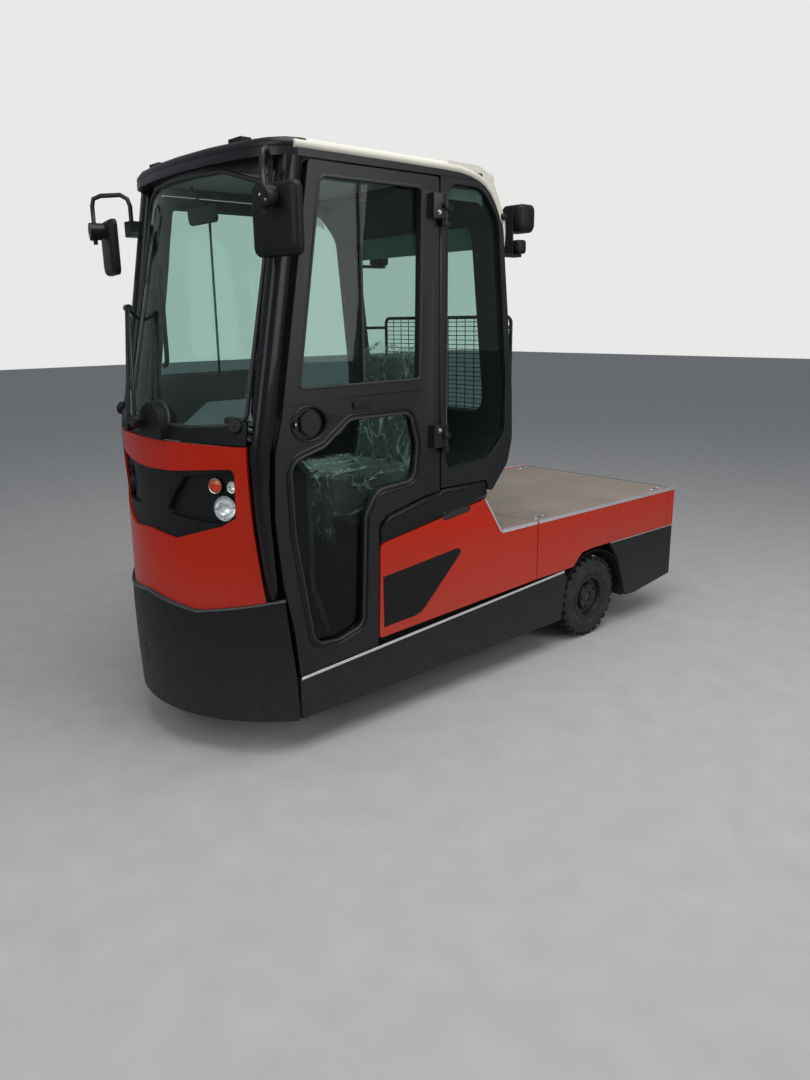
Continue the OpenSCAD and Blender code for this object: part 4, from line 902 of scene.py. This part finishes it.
# Axle and fork
# Sand-cast iron, painted thinly in grey-black, with a rough skin.
cast_iron = powder_coat("painted cast iron", "#343536", 0.65, 260.0)
eased("drive_axle", "rear_axle_casting", cast_iron, 5.0, 35, 3)
eased("steer_fork", "front_fork", cast_iron, 3.0, 35)
tray_enamel = powder_coat("battery tray enamel", "#4a4c4e", 0.5, 500.0)
eased("battery_block", "battery_tray", tray_enamel, 4.0)

# Wheel arch liners
# A moulded sheet bent round each rear tyre, pressed between the frame and the skirt.
tyre_low, tyre_high = corners_of("tyre_rear_left")
wheel_z = (tyre_low[2] + tyre_high[2]) / 2
arch_radius = (tyre_high[2] - tyre_low[2]) / 2 + 36
arch_outside = arch_radius + 3
arch_section = ((arch_radius, 396), (arch_radius, 533), (arch_outside, 533), (arch_outside, 396))
arch_steps = 28
rear_stretch = 0.13
arches = bmesh.new()
for side in (1, -1):
    hoops = []
    for k in range(arch_steps + 1):
        turn = math.radians(-12 + 166 * k / arch_steps)
        back = (1 + rear_stretch * max(0.0, math.cos(turn))) * math.cos(turn)
        hoops.append([arches.verts.new(at(-radius * back, side * y, wheel_z + radius * math.sin(turn)))
                      for radius, y in arch_section])
    for near, far in zip(hoops, hoops[1:]):
        for k in range(4):
            arches.faces.new((near[k], near[(k + 1) % 4], far[(k + 1) % 4], far[k]))
    arches.faces.new(hoops[0])
    arches.faces.new(hoops[-1][::-1])
closed_piece("wheel_arch_liners", outward(arches), dark_moulding)

# Wheels
# Solid rubber tyres with a block tread on dished steel rims, held by five nuts and a hub cap.


def tyre_rubber():
    """Solid tyre rubber: near black, matt, greyed by dust in the tread and on the wall."""
    tree, place, close = new_material("solid tyre rubber")
    cloud = cloudy(tree, place, 30.0, 6.0)
    shade = mixed(tree, ranged(tree, cloud, 0.4, 0.75, 0.0, 0.3), linear("#18181a"), linear("#4a4744"))
    return close(surface(tree, shade, 0.78, {"Normal": bumped(tree, cloud, 0.3, 0.0006)}))


rubber = tyre_rubber()
rim_enamel = powder_coat("dark rim enamel", "#191a1b", 0.4, 400.0)
# The tyre's wall as radius and distance from its middle: half of it, mirrored about the crown
half_wall = [(114, -44), (120, -52), (128, -53), (131, -54.6), (150, -54.8), (153, -53.8), (172, -53.4),
             (186, -51.5), (193, -45), (196, -34)]
carcass = half_wall + [(197.5, 0)] + [(radius, -across) for radius, across in half_wall[::-1]]
hub_profile = [(0, -6), (26, -6), (27, 0), (26.5, 7), (23, 10.5), (12, 13), (0, 13.6)]
lug_count = 28
crown_radius = 0.198
nut_circle = 0.052
nut_count = 5


def lug(wide, near, far, slope):
    """A tread block over its place: width round the tyre, reach across it, and its sloped outer end."""
    shape = bmesh.new()
    base = [Vector((a * wide / 2, y, -0.004)) for a, y in ((-1, near), (1, near), (1, far), (-1, far))]
    crown = [Vector((a * wide / 2 * 0.84, y, 0.0092)) for a, y in (
        (-1, near + 0.0015), (1, near + 0.0015), (1, far - slope), (-1, far - slope))]
    verts = [shape.verts.new(point) for point in base + crown]
    for face in ((3, 2, 1, 0), (4, 5, 6, 7), (0, 1, 5, 4), (1, 2, 6, 5), (2, 3, 7, 6), (3, 0, 4, 7)):
        shape.faces.new([verts[k] for k in face])
    bmesh.ops.bevel(shape, geom=shape.edges[:], offset=0.0012, segments=1, affect="EDGES")
    return shape


def tread_spots(middle, count, shift=0.0, zigzag=0.0):
    """Places evenly round a tyre and their turns, every other one moved across by some metres."""
    spots = []
    for k in range(count):
        turn = math.tau * (k + shift) / count
        across = zigzag if k % 2 else -zigzag
        away = Vector((math.sin(turn) * crown_radius, across, math.cos(turn) * crown_radius))
        spots.append((middle + away, (0.0, turn, 0.0)))
    return spots


for word, side in (("front", 1), ("rear_left", 1), ("rear_right", -1)):
    body = "wheel_" + word
    way = y_axis * side
    low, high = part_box("tyre_" + word)
    middle = (low + high) / 2
    tyre = turned_piece("tyre_" + word + "_carcass", carcass, [(middle, y_axis)], rubber,
                        body, 96, True, 40)
    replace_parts(tyre, "tyre_" + word)
    for row, label, shift in ((1, "_lugs_left", 0.5), (-1, "_lugs_right", 0.0)):
        block = lug(0.027, 0.018, 0.0535, 0.008)
        bmesh.ops.scale(block, vec=(1, row, 1), verts=block.verts)
        repeated("tyre_" + word + label, block, tread_spots(middle, lug_count, shift), rubber,
                 body)
    repeated("tyre_" + word + "_centre_blocks", lug(0.019, -0.010, 0.010, 0.0015),
             tread_spots(middle, 2 * lug_count, zigzag=0.004), rubber, body)
    eased("rim_" + word, "rim_" + word + "_disc", rim_enamel, 2.0)
    low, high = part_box("rim_" + word)
    middle = (low + high) / 2
    disc_y = landing("rim_" + word, middle + x_axis * nut_circle, way).y
    nuts = []
    for k in range(nut_count):
        turn = math.tau * k / nut_count + 0.3
        nuts.append((Vector((middle.x + math.cos(turn) * nut_circle, disc_y,
                             middle.z + math.sin(turn) * nut_circle)), sideways[side]))
    repeated("rim_" + word + "_nuts", hexagon_bolt(), nuts, zinc, body, 1.15)
    hub_y = landing("rim_" + word, middle + x_axis * 0.012, way).y
    turned_piece("rim_" + word + "_hub_cap", hub_profile, [(Vector((middle.x, hub_y, middle.z)), way)],
                 dark_moulding, body, 32, angle=40)

# Cab floor
# A black rubber mat with lengthwise ribs, 12 mm apart, on a steel tray.
mat_low, mat_high = corners_of("cab_floor")
eased("cab_floor", "floor_mat", gasket_rubber, 2.0)
rib = bmesh.new()
rib_half = (mat_high[0] - mat_low[0]) / 2000 - 0.008
plate(rib, [Vector((a * rib_half, b * 0.002, -0.0005)) for a, b in square], z_axis * 0.0025)
repeated("floor_mat_ribs", rib, [(at((mat_low[0] + mat_high[0]) / 2, y, mat_high[2]), upward)
                                 for y in range(-480, 481, 12)], gasket_rubber)

# Driver's controls
# Moulded dashboard with rocker switches and a dial, a hand wheel with a soft rim, and two pedals
# with ribbed rubber pads on steel plates. A grab handle and a mirror are screwed to the frame.
console_plastic = powder_coat("fine-grained console plastic", "#0d0d0e", 0.55, 900.0, 0.2)
soft_rim = moulded_rubber("soft black polyurethane", "#1b1b1d", 0.42)
eased("seat_base", "seat_console", console_plastic, 8.0, 40, 3)
eased("dashboard", "dashboard_moulding", console_plastic, 8.0, 40, 3)
eased("hand_wheel", "steering_wheel", soft_rim, 0, 40)
rocker = bmesh.new()
plate(rocker, rounded_outline(z_axis * -0.004, 38, 20, 3, x_axis, y_axis, 2), z_axis * 0.007)
plate(rocker, [Vector((x, -0.008, z)) for x, z in (
    (-0.016, 0.002), (0.016, 0.002), (0.016, 0.010), (0.0, 0.006), (-0.016, 0.0045))], y_axis * 0.016)
repeated("dashboard_switches", rocker, [
    (landing("dashboard", at(1640, y, 1150), z_axis), upward) for y in range(-330, -180, 28)],
    gasket_rubber)
dial_places = [(landing("dashboard", at(1650, 260, 1150), z_axis), (-0.25, 0, 1))]
turned_piece("dashboard_dial_housing", [(0, -4), (46, -4), (46, 6), (42, 9), (38, 9), (37, 5), (0, 5)],
             dial_places, dark_moulding, steps=40, angle=40)
turned_piece("dashboard_dial_glass", [(0, 4), (37, 4), (37, 6.5), (20, 7.4), (0, 7.8)], dial_places,
             lens_plastic("dial glass", "#dfe5e8", 0.4), steps=40, angle=50)
pedals = bmesh.new()
pads = []
for y in (-60, 90):
    x = spot(landing("dashboard", at(1400, y, 420), -x_axis, 0.2))[0]
    plate(pedals, [at(a, y - 36, c) for a, c in ((x - 40, 395), (x - 34, 390), (x - 12, 486), (x - 18, 491))],
          y_axis * 0.072)
    bar(pedals, 1, (x - 22, x + 4), (y - 8, y + 8), (432, 452))
    pads += [(at(x - 40 + 22 * k / 7 - 0.5, y, 399 + 88 * k / 7), (0.0, -0.23, 0.0)) for k in range(8)]
rounded(closed_piece("foot_pedals", outward(pedals), black_coat), 2.0)
strip = bmesh.new()
plate(strip, [Vector((-0.003, a * 0.033, b * 0.0025)) for a, b in square], x_axis * 0.004)
repeated("pedal_pad_ribs", strip, pads, gasket_rubber)
grip = [at(1718, 34 * reach - 506, z) for z, reach in (
    (1404, 0.2), (1410, 0.62), (1424, 0.92), (1450, 1.0), (1610, 1.0), (1775, 1.0), (1800, 0.92),
    (1814, 0.62), (1820, 0.2))]
swept("grab_handles", [grip], 10.0, dark_moulding, ring=False, sides=12)
stalk = [at(1800, 0, 2060), at(1782, 0, 2030), at(1768, 0, 1996), at(1762, 0, 1972)]
swept("inner_mirror_stalk", [stalk], 5.0, black_coat, ring=False)
inner = rounded_outline(at(1757, 0, 1965), 210, 62, 20, y_axis, (0.12, 0, 0.99))
plate_piece("inner_mirror", [(inner, Vector((0.010, 0, -0.001)))], dark_moulding, edge=3.0)

# Seat
# Foam cushion and back with black grained vinyl drawn tight over them, still under the clear
# polythene film that the seat was delivered in.


def vinyl():
    """Grained vinyl: half matt, with soft leathery creases and a slight sheen on the crown."""
    tree, place, close = new_material("black grained vinyl")
    shade = mixed(tree, cloudy(tree, place, 11.0, 4.0), linear("#161617"), linear("#242426"))
    grain = add(tree, "ShaderNodeTexVoronoi", {"Vector": place, "Scale": 420.0}, feature="DISTANCE_TO_EDGE")
    return close(surface(tree, shade, 0.42, {
        "Normal": bumped(tree, grain.outputs[0], 0.25, 0.0008), "Sheen Weight": 0.15}))


def polythene():
    """Clear polythene film: thin, glossy, and wrinkled where it's drawn over the foam, its creases whitened
    partly as milky film and partly as a painted highlight.
    """
    tree, place, close = new_material("clear polythene film")
    creases = []
    for stretch, thin in (((1.4, 7.5, 3.5), 0.022), ((4.5, 19.0, 11.0), 0.03)):
        cloud = cloudy(tree, stretched(tree, place, stretch), 1.0, 2.0, 0.5)
        away = maths(tree, "ABSOLUTE", maths(tree, "SUBTRACT", cloud, 0.5))
        creases.append(ranged(tree, away, 0.0, thin, 1.0, 0.0))
    folds = maths(tree, "MAXIMUM", creases[0], creases[1])
    film = surface(tree, linear("#f4f8f8"), 0.08, {
        "IOR": 1.5, "Specular IOR Level": 1.0, "Coat Weight": 1.0, "Normal": bumped(tree, folds, 1.0, 0.02)})
    # The white on the creases is partly the film's own milkiness and partly a painted highlight for bright
    # streaks of light along them
    milky_and_painted_highlight = ranged(tree, folds, 0.0, 1.0, 0.12, 0.95)
    return close(blended(tree, milky_and_painted_highlight, clear(tree, linear("#f4f6f6")), film))


seat_vinyl = vinyl()
seat_film = polythene()
voxel = 0.007
swell_cap = 0.010
seam_inset = 0.006
cloth_frames = 20


def swollen(node, name):
    """Swells a slightly shrunk, remeshed copy of a seat part by cloth pressure."""
    shape = merged(node)
    low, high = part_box(node)
    middle = (low + high) / 2
    size = high - low
    for vert in shape.verts:
        for axis in range(3):
            reach = vert.co[axis] - middle[axis]
            vert.co[axis] = middle[axis] + reach * (1 - 2 * seam_inset / size[axis])
    pad = placed(name, shape)
    skin = pad.modifiers.new("skin", "REMESH")
    skin.mode = "VOXEL"
    skin.voxel_size = voxel
    even = pad.modifiers.new("even", "SMOOTH")
    even.factor = 0.5
    even.iterations = 8
    pad_mesh = result_of(pad)
    pad.modifiers.clear()
    pad.data = pad_mesh
    start = [vert.co.copy() for vert in pad_mesh.vertices]
    cloth = pad.modifiers.new("cloth", "CLOTH")
    cloth.settings.quality = 5
    cloth.settings.mass = 0.3
    cloth.settings.tension_stiffness = 12
    cloth.settings.compression_stiffness = 12
    cloth.settings.bending_stiffness = 0.6
    cloth.settings.use_pressure = True
    cloth.settings.uniform_pressure_force = 4.0
    cloth.settings.effector_weights.gravity = 0
    scene = bpy.context.scene
    for step in range(1, cloth_frames + 1):
        scene.frame_set(step)
    graph = bpy.context.evaluated_depsgraph_get()
    blown = pad.evaluated_get(graph).to_mesh()
    places = [vert.co.copy() for vert in blown.vertices]
    pad.evaluated_get(graph).to_mesh_clear()
    pad.modifiers.remove(cloth)
    scene.frame_set(1)
    for vert, first, last in zip(pad_mesh.vertices, start, places):
        push = last - first
        if push.length > swell_cap:
            push *= swell_cap / push.length
        vert.co = first + push
    pad_mesh.materials.clear()
    pad_mesh.materials.append(seat_vinyl)
    pad_mesh.shade_smooth()
    finer = pad.modifiers.new("finer", "SUBSURF")
    finer.levels = 1
    finer.render_levels = 1
    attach(pad, "chassis")
    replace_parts(pad, node)
    return pad


cushion = swollen("seat_cushion", "seat_cushion_pad")
backrest = swollen("seat_back", "seat_back_pad")


def film_over(pad, name, way, share, slack, hang):
    """A clear creased film over a pad's outer side and edges, slack above its top, hanging below it."""
    slack_zone = 0.12
    hem = 0.035
    shape = bmesh.new()
    shape.from_mesh(pad.data)
    shape.normal_update()
    reaches = sorted(vert.co.dot(way) for vert in shape.verts)
    crest = max(vert.co.z for vert in shape.verts)
    edge = reaches[0] + (reaches[-1] - reaches[0]) * share
    loose = [face for face in shape.faces if max(vert.co.dot(way) for vert in face.verts) < edge
             and face.normal.dot(way) < 0.6]
    bmesh.ops.delete(shape, geom=loose, context="FACES")
    bmesh.ops.delete(shape, geom=[vert for vert in shape.verts if not vert.link_faces], context="VERTS")
    shape.normal_update()
    for vert in shape.verts:
        wave = noise.noise(Vector((vert.co.x * 9, vert.co.y * 24, vert.co.z * 14)))
        fold = 1 - abs(noise.noise(Vector((vert.co.x * 26, vert.co.y * 13, vert.co.z * 22))))
        lift = max(0.0, (vert.co.z - crest) / slack_zone + 1)
        drop = max(0.0, crest - hem - vert.co.z) * hang
        away = Vector((vert.normal.x, vert.normal.y, 0))
        puff = 0.0042 + 0.0026 * wave + 0.008 * fold ** 6
        vert.co += vert.normal * puff + away * drop * (0.25 + 0.2 * wave)
        vert.co.z += slack * lift ** 2 * (0.75 + 0.6 * wave) - drop * (1 + 0.25 * wave)
    area = sum(face.calc_area() for face in shape.faces)
    piece = closed_piece(name, shape, seat_film, angle=180)


film_over(cushion, "seat_cushion_film", z_axis, 0.08, 0.0, 1.6)
film_over(backrest, "seat_back_film", x_axis, 0.3, 0.06, 0.0)

# Floor, light and camera
# A plain pale floor under soft studio light, seen from where the photograph was taken. The
# camera sees a paler sky than the one that lights the tug.
floor_shape = bmesh.new()
bmesh.ops.create_grid(floor_shape, x_segments=1, y_segments=1, size=30.0)
floor = placed("studio_floor", floor_shape)
floor.data.materials.append(powder_coat("pale floor", "#a9a8a6", 0.8, 50.0))

world = bpy.data.worlds.new("studio")
world.use_nodes = True
sky_tree = world.node_tree
sky_tree.nodes.clear()
rays = add(sky_tree, "ShaderNodeLightPath").outputs
straight = maths(sky_tree, "LESS_THAN", rays["Diffuse Depth"], 1.0)
through = maths(sky_tree, "MULTIPLY", rays["Is Transmission Ray"], straight)
seen = maths(sky_tree, "MAXIMUM", rays["Is Camera Ray"], through)
sky = mixed(sky_tree, seen, (0.27, 0.29, 0.32, 1.0), linear("#e9e9e8"))
glow = add(sky_tree, "ShaderNodeBackground", {0: sky, 1: 1.0})
add(sky_tree, "ShaderNodeOutputWorld", {0: glow.outputs[0]})
bpy.context.scene.world = world


def soft_lamp(name, place, aim, size, watts, code):
    """A square soft box at a place, turned towards a point."""
    light = bpy.data.lights.new(name, "AREA")
    light.size = size
    light.energy = watts
    light.color = linear(code)[:3]
    lamp = bpy.data.objects.new(name, light)
    lamp.location = place
    lamp.rotation_euler = (Vector(aim) - Vector(place)).to_track_quat("-Z", "Y").to_euler()
    bpy.context.scene.collection.objects.link(lamp)


soft_lamp("overhead_softbox", (0.5, 1.5, 5.0), (0.0, 0.0, 1.0), 4.0, 165.0, "#ffffff")
soft_lamp("front_softbox", (5.0, 1.5, 3.0), (0.6, 0.0, 1.0), 3.0, 62.0, "#fbfdff")
soft_lamp("left_softbox", (-1.5, 5.5, 2.6), (0.0, 0.0, 1.0), 3.0, 85.0, "#fffdf9")

lens_mm = 27.96
sensor_mm = 36.0
camera_yaw = math.radians(228.6178)
camera_pitch = math.radians(-14.6887)
camera_roll = math.radians(-0.6892)
gaze = Vector((math.cos(camera_pitch) * math.cos(camera_yaw), math.cos(camera_pitch) * math.sin(camera_yaw),
               math.sin(camera_pitch)))
level_right = gaze.cross(z_axis).normalized()
level_up = level_right.cross(gaze)
right = math.cos(camera_roll) * level_right + math.sin(camera_roll) * level_up
up = math.cos(camera_roll) * level_up - math.sin(camera_roll) * level_right
eye = bpy.data.cameras.new("photo_view")
eye.lens = lens_mm
eye.sensor_width = sensor_mm
camera = bpy.data.objects.new("photo_view", eye)
bpy.context.scene.collection.objects.link(camera)
turn = Matrix((right, up, -gaze)).transposed().to_4x4()
camera.matrix_world = Matrix.Translation(at(3389, 2951, 1583)) @ turn
bpy.context.scene.camera = camera
bpy.context.scene.view_settings.view_transform = "Standard"
